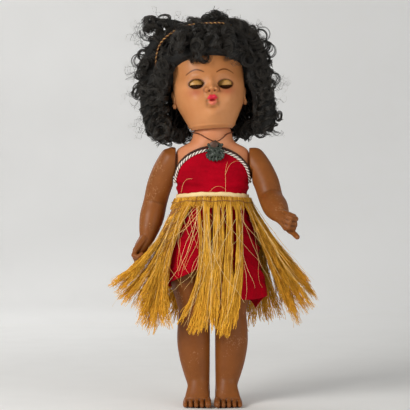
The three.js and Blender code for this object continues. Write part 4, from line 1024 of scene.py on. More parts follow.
def ball_rings(centre, radius, sides=40, rows=24):
    turn = round_turns(sides)
    rings = []
    for up in np.linspace(-math.pi / 2 + 0.05, math.pi / 2 - 0.05, rows):
        ring = [np.cos(up) * np.cos(turn), np.full(sides, math.sin(up)), np.cos(up) * np.sin(turn)]
        rings.append(np.array(centre) + radius * np.column_stack(ring))
    return np.array(rings)


def ball_room(name, centre, radius):
    return from_rings(name, in_head(ball_rings(centre, radius)), SKIN_FACE)


def ear_part(side):
    """An ear with a rolled rim and a lobe."""
    y = LEAN * (40 - LEAN_FROM) + 3
    x = side * (head_at(40.0)[0] + 0.3)
    return [
        oval_part((x, y, 42), (2.6, 4.6, 7.4)),
        oval_part((x + side * 0.8, y + 1.5, 45), (2.2, 4.2, 5)),
        oval_part((x + side * 0.4, y - 1, 34.5), (2.4, 3, 3.4)),
    ]


def paint_face(made):
    """Masks for lips, brows, blush and eye rims, and for painted shade round the eyes, nose and mouth and
    over the forehead, from each point's place on the face.
    """
    points = from_head(points_of(made))
    x = points[:, 0]
    z = points[:, 2]
    front = points[:, 1] < -8

    def soft(value, edge):
        return np.clip(0.5 - value / edge, 0, 1) * front

    up = z - EYE_UP
    # Painted shade: the forehead darkens upwards from the eyes, and the muzzle round the nose and mouth
    muzzle = np.exp(-((x / 12) ** 2) - ((up + 15) / 10) ** 2)
    write_mask(made, "painted_face_shade", np.maximum(0.7 * muzzle, np.clip((up + 2) / 9, 0, 1)) * front)
    write_mask(made, "blush", np.exp(-(((np.abs(x) - 15.8) / 7.5) ** 2) - ((up + 7.6) / 4.2) ** 2) * front)
    bow = -10.2 - 1.1 * np.exp(-((x / 1.1) ** 2)) - 0.11 * np.abs(x) ** 2.2
    upper = np.maximum(up - bow, 0.03 * x ** 2 - 15.6 - up)
    write_mask(made, "lips", soft(upper, 0.7))
    low = 0.13 * np.abs(x) ** 2.2 - 21.2
    write_mask(made, "lower_lip", soft(np.maximum(low - up, up + 17.4), 0.9))
    gape = np.hypot(x / 3.3, (up + 16.3) / 1.05) - 1
    write_mask(made, "mouth", soft(gape, 0.6))
    # Painted shade: dark nostril holes, and a crease ring round each nose wing
    hole = soft(np.hypot((np.abs(x) - 2.7) / 1.0, (up + 7.1) / 0.8) - 1, 0.8)
    wing = np.hypot((np.abs(x) - 4.4) / 3.1, (up + 5.9) / 2.8) - 1
    fold = np.exp(-((wing / 0.16) ** 2)) * (np.abs(x) > 4.4) * front
    write_mask(made, "painted_nostril_shade", np.maximum(hole, 0.55 * fold))
    share = (np.abs(x) - 6) / 17.5
    # Painted shade at the mouth corners, and a band of it under the lower lip
    corner = np.exp(-(((np.abs(x) - 5.6) / 1.7) ** 2) - ((up + 19.0) / 3.6) ** 2)
    corner = np.maximum(corner, 0.8 * np.exp(-((x / 4.5) ** 2) - ((up + 23.0) / 1.2) ** 2))
    write_mask(made, "painted_mouth_shade", corner * front)
    level = up + EYE_LEVEL * np.sign(x)
    arch = 11.7 - 0.5 * np.sign(x) - 1.6 * share + 3.6 * np.sin(math.pi * np.clip(share, 0, 1))
    thick = 0.72 * np.clip(1.2 - np.abs(share - 0.45), 0.4, 1)
    line = np.maximum(np.abs(up - arch) - thick, np.maximum(-share, share - 1) * 18)
    write_mask(made, "brow", soft(line, 0.5))
    u = (np.abs(x) - EYE_SPACING) / EYE_HALF_WIDE
    reach = np.hypot(u, level / EYE_HALF_HIGH)
    inside = (reach < 0.97) * front
    write_mask(made, "socket", inside * (level > -0.5))
    rim = np.where(level > 0, 0.12, 0.08)
    edge = np.clip(1.3 - np.abs(reach - 1.0) / rim, 0, 1) * front
    # The rim round each opening, and painted shade over the lower part of the opening's walls
    write_mask(made, "eye_rim_and_socket_shade", np.maximum(edge, inside * (level <= -0.5)))
    # Painted shade round each eye opening, fading outwards
    write_mask(made, "painted_eye_shade", np.exp(-((np.maximum(reach - 1, 0) / 0.28) ** 2)) * front * 0.5)


def head():
    columns = crowded_turns(220, 0.58)
    rows = np.concatenate([
        np.linspace(HEAD_BOTTOM, 20, 22),
        np.linspace(20.5, 70, 122),
        np.linspace(71, HEAD_TOP, 30),
    ])
    fold = 0.7 * np.exp(-(((rows - 11.5) / 1.2) ** 2))
    rings = [head_points(columns, np.full(len(columns), z), out, True) for z, out in zip(rows, fold)]
    made = from_rings("head_skin", in_head(rings), SKIN_FACE)
    rooms = [ball_room("eye room", eye_centre(side), LID_R + EYE_ROOM) for side in (1, -1)]
    seat = ball_room("neck seat", (0, 0, 0), NECK_BALL_R + SEAT_ROOM)
    cut_away(made, eye_cutter(1), eye_cutter(-1), *rooms, seat)
    write_crease_shade(made, 5, 0.5)
    paint_face(made)
    return dress(made, "head_body", "skin", "head")


def ears():
    parts = [(in_head(points), faces) for side in (1, -1) for points, faces in ear_part(side)]
    made = moulded("ears", parts, 0.5, 6, SKIN_FACE)
    points = from_head(points_of(made))
    x = np.abs(points[:, 0]) - head_at(40.0)[0]
    hollow = np.exp(-(((points[:, 1] - 3.5) / 2.2) ** 2) - ((points[:, 2] - 41.5) / 3.4) ** 2)
    points[:, 0] -= np.sign(points[:, 0]) * 1.6 * hollow * (x > 0.5)
    write_points(made, in_head(points))
    for paint, _tint, _share in FACE_PAINT:
        write_mask(made, paint, np.zeros(len(points)))
    return dress(made, "head_body", "skin")


# Eyes
def eye(side, name):
    rings = ball_rings(eye_centre(side), EYE_R, 48, 32)
    made = from_rings(name + "_eyeball_gloss", in_head(rings), EYE)
    return dress(made, "eyes_body", "eye", name + "_eyeball")


def lid_edge(side):
    """Angle of a half-closed lid's edge below the middle of the eye, in degrees."""
    return LID_EDGE - side * math.degrees(EYE_LEVEL / LID_R)


def eyelid(side, name):
    """The upper part of a thin shell round the eyeball."""
    turn = np.linspace(math.radians(197), math.radians(343), 48)
    rows = np.radians(np.linspace(lid_edge(side), 80, 26))
    ball = np.array([
        [[math.cos(a) * math.cos(up), math.sin(a) * math.cos(up), math.sin(up)] for a in turn]
        for up in rows
    ])
    outside = eye_centre(side) + LID_R * ball
    inside = eye_centre(side) + (LID_R - LID_THICK) * ball
    loop = np.concatenate([outside, inside[:, ::-1]], axis=1)
    made = from_rings(name + "_eyelid_shell", in_head(loop), EYELID)
    return dress(made, "eyes_body", "eyelid", name + "_eyelid")


# Geometry Nodes trees
def named(tree, name, kind="FLOAT"):
    return add(tree, "GeometryNodeInputNamedAttribute", {"Name": name}, data_type=kind).outputs[0]


def chance(tree, identity, seed, offset):
    """A random number from 0 to 1, fixed for each strand."""
    shifted = calc(tree, "ADD", seed, float(offset))
    links = {"Min_001": 0.0, "Max_001": 1.0, "ID": identity, "Seed": shifted}
    made = add(tree, "FunctionNodeRandomValue", links, data_type="FLOAT")
    return find_socket(made.outputs, "Value_001")


def store(tree, geometry, name, value, domain="POINT", kind="FLOAT"):
    links = {"Geometry": geometry, "Name": name, "Value": value}
    made = add(tree, "GeometryNodeStoreNamedAttribute", links, data_type=kind, domain=domain)
    return made.outputs[0]


def copies(tree, line, count):
    """Each line many times over: the lines, and the number of each copy."""
    links = {"Geometry": line, "Amount": count}
    return add(tree, "GeometryNodeDuplicateElements", links, domain="SPLINE").outputs


def square_move(tree, out_by, side_by):
    """A move square to a line, along its normal and to its side."""
    normal = add(tree, "GeometryNodeInputNormal").outputs[0]
    tangent = add(tree, "GeometryNodeInputTangent").outputs[0]
    side = vector(tree, "CROSS_PRODUCT", tangent, normal)
    outwards = vector(tree, "SCALE", normal, Scale=out_by)
    return vector(tree, "ADD", outwards, vector(tree, "SCALE", side, Scale=side_by))


def tube(tree, given, line, wide, thick, scale, out):
    """Gives the lines a flat or round section, and ends the tree."""
    ring = add(tree, "GeometryNodeCurvePrimitiveCircle", {"Resolution": given["Sides"], "Radius": 1.0})
    size = add(tree, "ShaderNodeCombineXYZ", {"X": wide, "Y": thick, "Z": 1.0}).outputs[0]
    links = {"Geometry": ring.outputs["Curve"], "Scale": size}
    section = add(tree, "GeometryNodeTransform", links).outputs[0]
    links = {"Curve": line, "Profile Curve": section, "Scale": scale, "Fill Caps": True}
    mesh = add(tree, "GeometryNodeCurveToMesh", links).outputs[0]
    mesh = add(tree, "GeometryNodeSetShadeSmooth", {"Geometry": mesh}).outputs[0]
    mesh = add(tree, "GeometryNodeRealizeInstances", {"Geometry": mesh}).outputs[0]
    links = {"Geometry": mesh, "Material": given["Material"]}
    tree.links.new(add(tree, "GeometryNodeSetMaterial", links).outputs[0], out["Geometry"])


def strand_tree():
    """Many strands along each guide line: spread, coiled, wavering and uneven in length."""
    tree, given, out = new_tree(
        "strands along guides",
        "GeometryNodeTree",
        {
            "Geometry": GEOMETRY,
            "Strands": 20,
            "Points": 30,
            "Root Spread": 0.001,
            "Tip Spread": 0.003,
            "Coil Radius": 0.0,
            "Coil Pitch": 0.015,
            "Coil Scatter": 1.0,
            "Waver": 0.001,
            "Waver Size": 0.02,
            "Unevenness": 0.1,
            "Strand Width": 0.0003,
            "Strand Thickness": 0.0003,
            "Taper": 0.4,
            "Sides": 3,
            "Seed": 1,
            "Material": "NodeSocketMaterial",
        },
        {"Geometry": GEOMETRY},
    )
    index = add(tree, "GeometryNodeInputIndex").outputs[0]
    line = add(tree, "GeometryNodeMeshToCurve", {"Mesh": given["Geometry"]}).outputs[0]
    line = store(tree, line, "guide", index, "CURVE", "INT")
    line = add(tree, "GeometryNodeResampleCurve", {"Curve": line, "Count": given["Points"]}).outputs[0]
    line = store(tree, copies(tree, line, given["Strands"])[0], "strand", index, "CURVE", "INT")
    strand = named(tree, "strand", "INT")
    guide = named(tree, "guide", "INT")

    def times(first, second):
        return calc(tree, "MULTIPLY", first, second)

    def luck(number, identity=strand):
        return chance(tree, identity, given["Seed"], number)

    kept = calc(tree, "SUBTRACT", 1.0, times(luck(1), given["Unevenness"]))
    line = add(tree, "GeometryNodeTrimCurve", {"Curve": line, "End": kept}, mode="FACTOR").outputs[0]
    run = add(tree, "GeometryNodeSplineParameter").outputs
    share = run["Factor"]
    more = calc(tree, "SUBTRACT", given["Tip Spread"], given["Root Spread"])
    apart = calc(tree, "MULTIPLY_ADD", more, share, given["Root Spread"])
    reach = times(apart, calc(tree, "SQRT", luck(2)))
    turn = times(luck(3), FULL_TURN)
    out_by = times(reach, calc(tree, "COSINE", turn))
    side_by = times(reach, calc(tree, "SINE", turn))
    winding = calc(tree, "DIVIDE", times(run["Length"], FULL_TURN), given["Coil Pitch"])
    phase = times(luck(4, guide), FULL_TURN)
    scatter = times(calc(tree, "SUBTRACT", luck(5), 0.5), given["Coil Scatter"])
    angle = calc(tree, "ADD", calc(tree, "ADD", winding, phase), scatter)
    girth = calc(tree, "MULTIPLY_ADD", luck(6), 0.4, 0.8)
    start = calc(tree, "MINIMUM", times(share, 5.0), 1.0)
    coil = times(times(times(given["Coil Radius"], named(tree, "girth")), girth), start)
    out_by = calc(tree, "MULTIPLY_ADD", coil, calc(tree, "COSINE", angle), out_by)
    side_by = calc(tree, "MULTIPLY_ADD", coil, calc(tree, "SINE", angle), side_by)
    place = add(tree, "GeometryNodeInputPosition").outputs[0]
    fine = vector(tree, "SCALE", place, Scale=calc(tree, "DIVIDE", 1.0, given["Waver Size"]))
    own = times(luck(7), 40.0)
    moved = vector(tree, "ADD", fine, add(tree, "ShaderNodeCombineXYZ", {"X": own, "Y": own}).outputs[0])
    cloud = add(tree, "ShaderNodeTexNoise", {"Vector": moved, "Scale": 1.0, "Detail": 2.0})
    level = vector(tree, "SUBTRACT", cloud.outputs["Color"], (0.5, 0.5, 0.5))
    waver = vector(tree, "SCALE", level, Scale=times(given["Waver"], share))
    offset = vector(tree, "ADD", square_move(tree, out_by, side_by), waver)
    line = add(tree, "GeometryNodeSetPosition", {"Geometry": line, "Offset": offset}).outputs[0]
    line = store(tree, line, "along", share)
    line = store(tree, line, "shade", luck(8))
    scale = calc(tree, "SUBTRACT", 1.0, times(calc(tree, "POWER", share, 3.0), given["Taper"]))
    tube(tree, given, line, given["Strand Width"], given["Strand Thickness"], scale, out)
    return tree


def twist_tree():
    """A twisted cord: plies wound round a path, each knowing its number."""
    tree, given, out = new_tree(
        "twisted cord",
        "GeometryNodeTree",
        {
            "Geometry": GEOMETRY,
            "Plies": 2,
            "Points": 600,
            "Pitch": 0.004,
            "Winding Radius": 0.0005,
            "Ply Radius": 0.0005,
            "Sides": 8,
            "Material": "NodeSocketMaterial",
        },
        {"Geometry": GEOMETRY},
    )
    line = add(tree, "GeometryNodeMeshToCurve", {"Mesh": given["Geometry"]}).outputs[0]
    line = add(tree, "GeometryNodeResampleCurve", {"Curve": line, "Count": given["Points"]}).outputs[0]
    plies = copies(tree, line, given["Plies"])
    share = calc(tree, "DIVIDE", plies["Duplicate Index"], given["Plies"])
    line = store(tree, plies[0], "ply_turn", share)
    ply = named(tree, "ply_turn")
    length = add(tree, "GeometryNodeSplineParameter").outputs["Length"]
    winding = calc(tree, "DIVIDE", length, given["Pitch"])
    angle = calc(tree, "MULTIPLY", calc(tree, "ADD", winding, ply), FULL_TURN)
    out_by = calc(tree, "MULTIPLY", given["Winding Radius"], calc(tree, "COSINE", angle))
    side_by = calc(tree, "MULTIPLY", given["Winding Radius"], calc(tree, "SINE", angle))
    links = {"Geometry": line, "Offset": square_move(tree, out_by, side_by)}
    line = add(tree, "GeometryNodeSetPosition", links).outputs[0]
    line = store(tree, line, "ply", calc(tree, "ADD", ply, 0.01))
    tube(tree, given, line, given["Ply Radius"], given["Ply Radius"], 1.0, out)
    return tree


STRANDS = strand_tree()
TWIST = twist_tree()
LENGTHS = {
    "Root Spread", "Tip Spread", "Coil Radius", "Coil Pitch", "Waver", "Waver Size", "Strand Width",
    "Strand Thickness", "Pitch", "Winding Radius", "Ply Radius",
}


def guide_lines(name, paths, closed=False, girths=None):
    """Lines of points in millimetres, as a mesh of edges that a tree reads."""
    points = []
    edges = []
    girth = []
    for number, path in enumerate(paths):
        first = len(points)
        points += (np.asarray(path) + [0, BODY_BACK, 0]).tolist()
        edges += [(first + i, first + i + 1) for i in range(len(path) - 1)]
        if closed:
            edges.append((first + len(path) - 1, first))
        girth += [girths[number] if girths else 1.0] * len(path)
    mesh = bpy.data.meshes.new(name)
    mesh.from_pydata((np.array(points) * MM).tolist(), edges, [])
    made = placed(name, mesh)
    write_mask(made, "girth", girth)
    return made


def grown(tree, guides, material, sizes):
    """Runs a tree on its guides; lengths are in millimetres. The result is a plain mesh."""
    modifier = guides.modifiers.new("growth", "NODES")
    modifier.node_group = tree
    for socket in tree.interface.items_tree:
        if socket.in_out != "INPUT":
            continue
        if socket.name == "Material":
            modifier[socket.identifier] = material
        elif socket.name in sizes:
            value = sizes[socket.name]
            modifier[socket.identifier] = value * MM if socket.name in LENGTHS else value
    return settled(guides)


# What a row of numbers says for each kind of strand; lengths are in millimetres
STRAND_SIZES = (
    "Strands", "Points", "Root Spread", "Tip Spread", "Coil Radius", "Coil Pitch", "Coil Scatter",
    "Waver", "Waver Size", "Unevenness", "Strand Width", "Strand Thickness", "Taper", "Sides",
)
STRAND_KINDS = {
    "lashes": (2, 7, 0.15, 0.35, 0, 15, 1.0, 0.3, 3, 0.25, 0.13, 0.13, 0.85, 3),
    "ringlets": (13, 48, 1.1, 1.7, RINGLET_R - 1.3, 10.5, 2.8, 5, 8, 0.1, 0.4, 0.34, 0.5, 3),
    "short curls": (11, 20, 1.3, 1.5, 5.4, 4.6, 1.3, 3.5, 7, 0.2, 0.36, 0.3, 0.6, 3),
    "open curls": (5, 24, 0.5, 1, 0, 15, 1.0, 2.5, 9, 0.2, 0.22, 0.2, 0.6, 3),
    "flyaways": (3, 18, 0.5, 2, 2.6, 11, 6.0, 6, 9, 0.2, 0.13, 0.13, 0.6, 3),
    "bundle": (38, 17, 0.9, 2, 0, 15, 1.0, 11, 20, 0.2, 0.28, 0.17, 0.0, 3),
    "fan": (38, 17, 0.9, 2.2, 0, 15, 1.0, 14, 19, 0.2, 0.28, 0.17, 0.0, 3),
    "back fan": (26, 17, 0.9, 2.2, 0, 15, 1.0, 14, 19, 0.2, 0.28, 0.17, 0.0, 3),
    "heading": (8, 6, 0.9, 1.3, 0, 15, 1.0, 2.5, 8, 0.3, 0.24, 0.15, 0.3, 3),
    "stray": (1, 26, 0, 1, 0, 15, 1.0, 20, 44, 0.3, 0.23, 0.15, 0.5, 4),
    "fine stray": (1, 26, 0, 1, 0, 15, 1.0, 3, 44, 0.3, 0.13, 0.15, 0.5, 4),
    "curly": (2, 44, 0.4, 2, 3.4, 19, 6.0, 20, 30, 0.55, 0.17, 0.13, 0.5, 4),
}


def strands(name, paths, material, kind, seed, girths=None):
    """Strands of one kind along guide lines."""
    sizes = dict(zip(STRAND_SIZES, STRAND_KINDS[kind]), Seed=seed)
    return grown(STRANDS, guide_lines(name, paths, girths=girths), material, sizes)


def loop_length(path):
    return float(np.sum(step_lengths(np.vstack([path, path[:1]]))))


def twisted_loop(name, path, material, pitch, winding, ply, plies, points):
    """A closed twisted cord whose twist meets itself; a pitch below nought winds the other way."""
    length = loop_length(path)
    turns = max(1, round(length / abs(pitch)))
    lay = math.copysign(length / turns, pitch)
    sizes = {"Plies": plies, "Points": points, "Pitch": lay, "Winding Radius": winding, "Ply Radius": ply}
    return grown(TWIST, guide_lines(name, [path], closed=True), material, sizes)


# Lashes
def lashes(side, name):
    paths = []
    picker = random.Random(11 + side)
    for a in np.radians(np.linspace(-40, 40, 44)):
        path = []
        lean = a + picker.uniform(-0.06, 0.06)
        for share in np.linspace(0, 1, 6):
            reach = LID_R + 0.1 + 1.9 * share
            drop = math.radians(lid_edge(side) - 22 * share ** 1.3)
            turn = a + (lean - a + 0.12 * a) * share
            path.append(eye_centre(side) + reach * np.array([
                math.sin(turn) * math.cos(drop),
                -math.cos(turn) * math.cos(drop),
                math.sin(drop),
            ]))
        paths.append(in_head(np.array(path)))
    made = strands(name + "_lash_hairs", paths, LASH, "lashes", 5)
    return dress(made, "eyes_body", "lashes", name + "_lashes")


# Clothes
def bodice_top(turn):
    rise = np.where(np.sin(turn) < 0, BODICE_FRONT_RISE, BODICE_BACK_RISE)
    share = np.maximum(0, (np.abs(np.sin(turn)) - BODICE_TURN) / (1 - BODICE_TURN))
    return BODICE_SIDE + rise * share ** 0.95


def cloth_tube(name, ring_at, count, material):
    """A tube of cloth with two skins; ring_at gives a ring by its share of the length and its lift."""
    shares = np.linspace(0, 1, count)
    outside = np.array([ring_at(share, CLOTH) for share in shares])
    inside = np.array([ring_at(share, 0.0) for share in shares])[::-1]
    made = from_rings(name, np.concatenate([outside, inside]), material, wrap=True)
    around = np.linalg.norm(np.diff(outside, axis=1, append=outside[:, :1]), axis=2)
    across = np.cumsum(np.mean(around, axis=0))
    steps = np.mean(np.linalg.norm(np.diff(outside, axis=0), axis=2), axis=1)
    down = np.concatenate([[0], np.cumsum(steps)])
    along = np.repeat(np.concatenate([down, down[::-1]]), outside.shape[1])
    write_cloth_map(made, np.tile(across, 2 * count), along)
    return made


def wrinkle(turn, z, size, depth, seed, sharp):
    """A crumple from a few crossing waves; sharp ones come to a crease."""
    picker = random.Random(seed)
    total = 0.0
    for _ in range(6):
        across = picker.uniform(1, 5)
        up = picker.uniform(0.4, 1.4) / size
        start = picker.uniform(0, FULL_TURN)
        wave = np.sin(across * turn + up * z + start)
        total = total + (1 - sharp) * wave + sharp * (1.3 - 2 * np.abs(wave))
    return depth * total / 6


def bodice():
    turn = round_turns(200)

    def ring_at(share, grow):
        height = BODICE_BOTTOM + (bodice_top(turn) - BODICE_BOTTOM) * share
        ease = math.sin(math.pi * min(1, share * 1.05)) ** 0.5 if share < 0.95 else 0.2
        fold = wrinkle(turn, height, 2.4, 1.9, 3, 0.4) * ease
        waves = np.sin(height * 0.62 + 2 * np.sin(turn * 2))
        pull = 0.7 * waves * np.exp(-(((height - 216) / 9) ** 2)) * ease
        lift = np.maximum(fold + pull + 0.2, -0.5)
        return on_torso(turn, height, CLOTH_OFF + grow + lift)

    made = cloth_tube("bodice_cloth", ring_at, 54, RED_CLOTH)
    dress(made, "torso_body", "red_cloth", "bodice")
    return made


skirt_at = through([
    (60, 58, 35, 37),
    (112, 53.5, 34, 34.5),
    (HIP_HEIGHT - 12, 48.5, 32.5, 32.5),
    (HIP_HEIGHT + 22, 42, 29.5, 28.5),
    (BODICE_BOTTOM, 34.9, 24.2, 21.6),
])
SKIRT_SEAM = 1.3
FOLD_DEPTH = 2.2


def skirt_half(side, name, hem, folds, seed):
    """One leg of the divided skirt: gathers that deepen towards the hem, and slanting crumples."""
    arc = 150
    wall = 20
    part = np.linspace(0, 1, arc)
    turn = math.pi * (part - 0.5)

    def ring_at(share, grow):
        height = BODICE_BOTTOM - GAP + (hem(part) - BODICE_BOTTOM + GAP) * share
        row = skirt_at(height)
        edge = np.sin(math.pi * part) ** 0.5
        fold = (np.sin(folds * math.pi * part + 0.6 * np.sin(3 * share + 4 * part)) - 0.4) * edge
        fine = 0.32 * np.sin(2.7 * folds * math.pi * part + 2.2 * share) * edge
        crumple = wrinkle(turn * 2.2, height, 2.6, 7.5, seed, 0.6) - 2.2
        slant = crumple * edge * math.sin(math.pi * min(share * 1.1, 1)) ** 0.6
        lift = grow + np.clip(FOLD_DEPTH * share * (fold + fine) + slant, -2.6, 2.4)
        seam = SKIRT_SEAM - grow
        depth = np.where(turn < 0, row[:, 1], row[:, 2]) + lift
        x = side * (seam + (row[:, 0] + lift - seam) * np.cos(turn))
        outer = np.column_stack([x, depth * np.sin(turn), height])
        step = np.linspace(0, 1, wall + 2)[1:-1, None]
        inner = outer[-1] + (outer[0] - outer[-1]) * step
        return np.vstack([outer, inner])

    made = cloth_tube(name + "_cloth", ring_at, 66, RED_CLOTH)
    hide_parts(name)
    follow(made, name.split("_")[0] + "_leg_body")
    return made


def left_hem(part):
    """Nearly level, with a corner that hangs down behind."""
    corner = np.maximum(0, 1 - np.abs(part - 0.69) / 0.12)
    return 109 - 3 * np.sin(FULL_TURN * part) - 17 * corner


def right_hem(part):
    """Drawn up at the front, where the thigh shows."""
    return 116 + 30 * (1 - part) ** 4


def left_skirt():
    made = skirt_half(1, "left_skirt", left_hem, 5, 21)
    return made


def right_skirt():
    made = skirt_half(-1, "right_skirt", right_hem, 4, 8)
    return made


def band_low(turn):
    """Lower edge of the waistband, which rides up a little at the front."""
    front = np.maximum(0, -np.sin(turn)) ** 2
    return WAIST_HEIGHT - BAND_HIGH / 2 - 0.4 + 2.4 * front


def waistband():
    turn = round_turns(220)
    section = [(0, 0.1), (0.0, 1.3), (0.25, 1.75), (0.5, 1.85), (0.75, 1.75), (1.0, 1.3), (1.0, 0.1)]
    rings = []
    for share, off in section:
        sag = 0.25 * np.sin(turn * 9) + 0.18 * np.sin(turn * 23 + 1)
        height = band_low(turn) + (BAND_HIGH - 1.2) * share + sag
        rings.append(on_torso(turn, height, CLOTH_OFF + CLOTH + 0.4 + off + 0.1 * np.sin(turn * 31)))
    made = from_rings("waistband_tape", np.array(rings), TAPE, wrap=True)
    around = np.cumsum(np.full(len(turn), BAND_AROUND / len(turn)))
    across = np.repeat(np.linspace(0, 10, len(section)), len(turn))
    write_cloth_map(made, np.tile(around, len(section)), across)
    return dress(made, "torso_body", "raffia_pale", "raffia_waistband")


# Hair
def around_head(turn, reach, z):
    t = math.radians(turn)
    y = 0.74 * reach * math.sin(t) + LEAN * (max(z, 40) - LEAN_FROM)
    return (reach * (1 - 0.05 * math.cos(t)) * math.cos(t), y, z)


def lock_tier(count, first, last, rise, out, hang, radius):
    """A row of locks that hang round the sides and the back of the head."""
    locks = []
    for turn in np.linspace(first, last, count):
        root = head_points(np.radians(turn), np.array(rise, float), 2.0)
        drop = hang - rise
        tuck = 9 * np.clip((turn - 110) / 50, 0, 1) * (hang < 20)
        path = [
            root,
            around_head(turn, out, rise + 0.35 * drop),
            around_head(turn, out + 3 - 0.5 * tuck, rise + 0.7 * drop),
            around_head(turn, out - 3 - tuck, hang),
        ]
        locks.append((path, radius, "left" if path[2][0] > 0 else "right"))
    return locks


def fringe_locks():
    locks = []
    for x, low in ((-24, 83), (-9, 77), (6, 80), (21, 71)):
        path = [(0.8 * x, -4, 106), (x, -21, 102), (1.12 * x, -28.5, 94), (1.12 * x, -29, low)]
        locks.append((path, 9.5, "crown"))
    return locks


def face_locks():
    locks = []
    for s in (1, -1):
        reach = 43 if s > 0 else 46
        side = "left" if s > 0 else "right"
        upper = [(29, -12, 92), (41, -13, 80), (reach, -9, 62), (reach + 1, -4, 44)]
        lower = [(38, 0, 62), (reach + 3, -3, 44), (reach + 4, 0, 26), (reach + 2, 4, 1)]
        for path, radius in ((upper, 9), (lower, 9.5)):
            locks.append(([(s * x, y, z) for x, y, z in path], radius, side))
    return locks


CROWN_LOCKS = [
    ([(-8, 2, 108), (-30, 5, 117), (-52, 8, 119), (-62, 10, 108)], 8, "crown"),
    ([(-4, 4, 108), (6, 2, 118), (18, 4, 116), (26, 8, 106)], 8, "crown"),
    ([(10, 6, 106), (34, 6, 108), (48, 8, 96), (54, 10, 82)], 13, "crown"),
    ([(-10, 6, 106), (-36, 8, 106), (-52, 10, 94), (-58, 12, 78)], 13, "crown"),
    ([(-16, 14, 108), (0, 22, 110), (16, 26, 106), (30, 28, 94)], 14, "nape"),
    ([(0, 14, 110), (-14, 32, 104), (-22, 40, 92), (-22, 44, 76)], 14, "nape"),
]


def all_locks():
    low = lock_tier(7, -2, 182, 70, 57, -1, 16.5)
    high = lock_tier(5, 8, 172, 88, 54, 46, 16)
    return low + high + fringe_locks() + face_locks() + CROWN_LOCKS


def lock_frames(path, count):
    """Points down a lock, with the directions out from the head and across."""
    middle = smooth_line(path, count)
    along = unit(np.gradient(middle, axis=0))
    outward = middle - [0, 10, 0]
    outward[:, 2] = np.maximum(outward[:, 2] - 80, 0)
    outward = unit(outward - along * np.sum(outward * along, axis=1)[:, None])
    return middle, outward, np.cross(along, outward)


def ringlets(lock, picker):
    """Smaller ringlets that together fill one lock, wandering a little on the way."""
    path, radius, _side = lock
    middle, outward, side = lock_frames(path, 26)
    coil = min(RINGLET_R, radius * 0.62)
    room = radius - coil
    count = max(2, round((radius / coil) ** 2 * 0.8))
    found = []
    start = picker.uniform(0, FULL_TURN)
    s = np.linspace(0, 1, len(middle))[:, None]
    for i in range(count):
        turn = start + i * FULL_TURN / count * 1.7 + picker.uniform(-0.4, 0.4)
        reach = room * picker.uniform(0.55, 1.12)
        ease = np.minimum(1, 0.25 + 2.4 * s)
        sway = 2.6 * np.sin(FULL_TURN * (picker.uniform(0.8, 1.6) * s + picker.random())) * s
        swing = 2.6 * np.sin(FULL_TURN * (picker.uniform(0.8, 1.6) * s + picker.random())) * s
        flick = picker.uniform(-2, 6) * np.maximum(0, (s - 0.8) / 0.2) ** 2
        shifted = middle + outward * (ease * reach * math.cos(turn) + sway + flick)
        shifted = shifted + side * (ease * reach * math.sin(turn) + swing)
        keep = len(shifted) - picker.choice([0, 0, 1, 2, 3])
        found.append((in_head(shifted[:keep]), coil / RINGLET_R * picker.uniform(0.75, 1.1)))
    return found


def grow_curls(name, found, kind, seed):
    """Curls in pieces of a few lines each; every line comes with its girth."""
    limit = 30
    for part in range(0, len(found), limit):
        paths, girths = zip(*found[part:part + limit])
        made = strands("%s_%d" % (name, part // limit), paths, HAIR, kind, seed + part, girths)
        dress(made, "head_body", "hair")


def curls():
    """The curled hair in pieces by side, each a bundle of coiled strands on every ringlet."""
    picker = random.Random(4)
    groups = {}
    for lock in all_locks():
        groups.setdefault(lock[2], []).extend(ringlets(lock, picker))
    for number, (side, found) in enumerate(groups.items()):
        grow_curls("curls_" + side, found, "ringlets", 10 + 40 * number)


def swirl(middle, axis, girth):
    """A short line along a curl's axis; the strands turn round it, so the curl shows as a ring."""
    steps = np.linspace(-4, 4, 8)[:, None]
    return in_head(middle + axis / np.linalg.norm(axis) * steps), girth


# Places of curls: a row hides the headband on the doll's left, a row hangs beside each cheek,
# and pairs lie at the nape and fill the gaps behind the cheeks
COVER_CURLS = [(24, -20, 109), (36, -17, 105), (46, -13, 96), (52, -7, 81), (51, 0, 64)]
CHEEK_CURLS = [(45, -13, 74), (51, -10, 56), (54, -8, 38), (53, -5, 20), (48, -2, 5)]
NAPE_CURLS = [(40, 2, 9), (36, 6, 5), (33, 12, 4), (31, 18, 6), (26, 20, 6), (23, 25, 2)]
FILLING_CURLS = [(46, 14, 25), (36, 20, 30), (36, 20, 20), (25, 22, 9), (41, 16, 35)]
CURLS_TO_A_LOCK = 7
CROWN_CURLS = 44


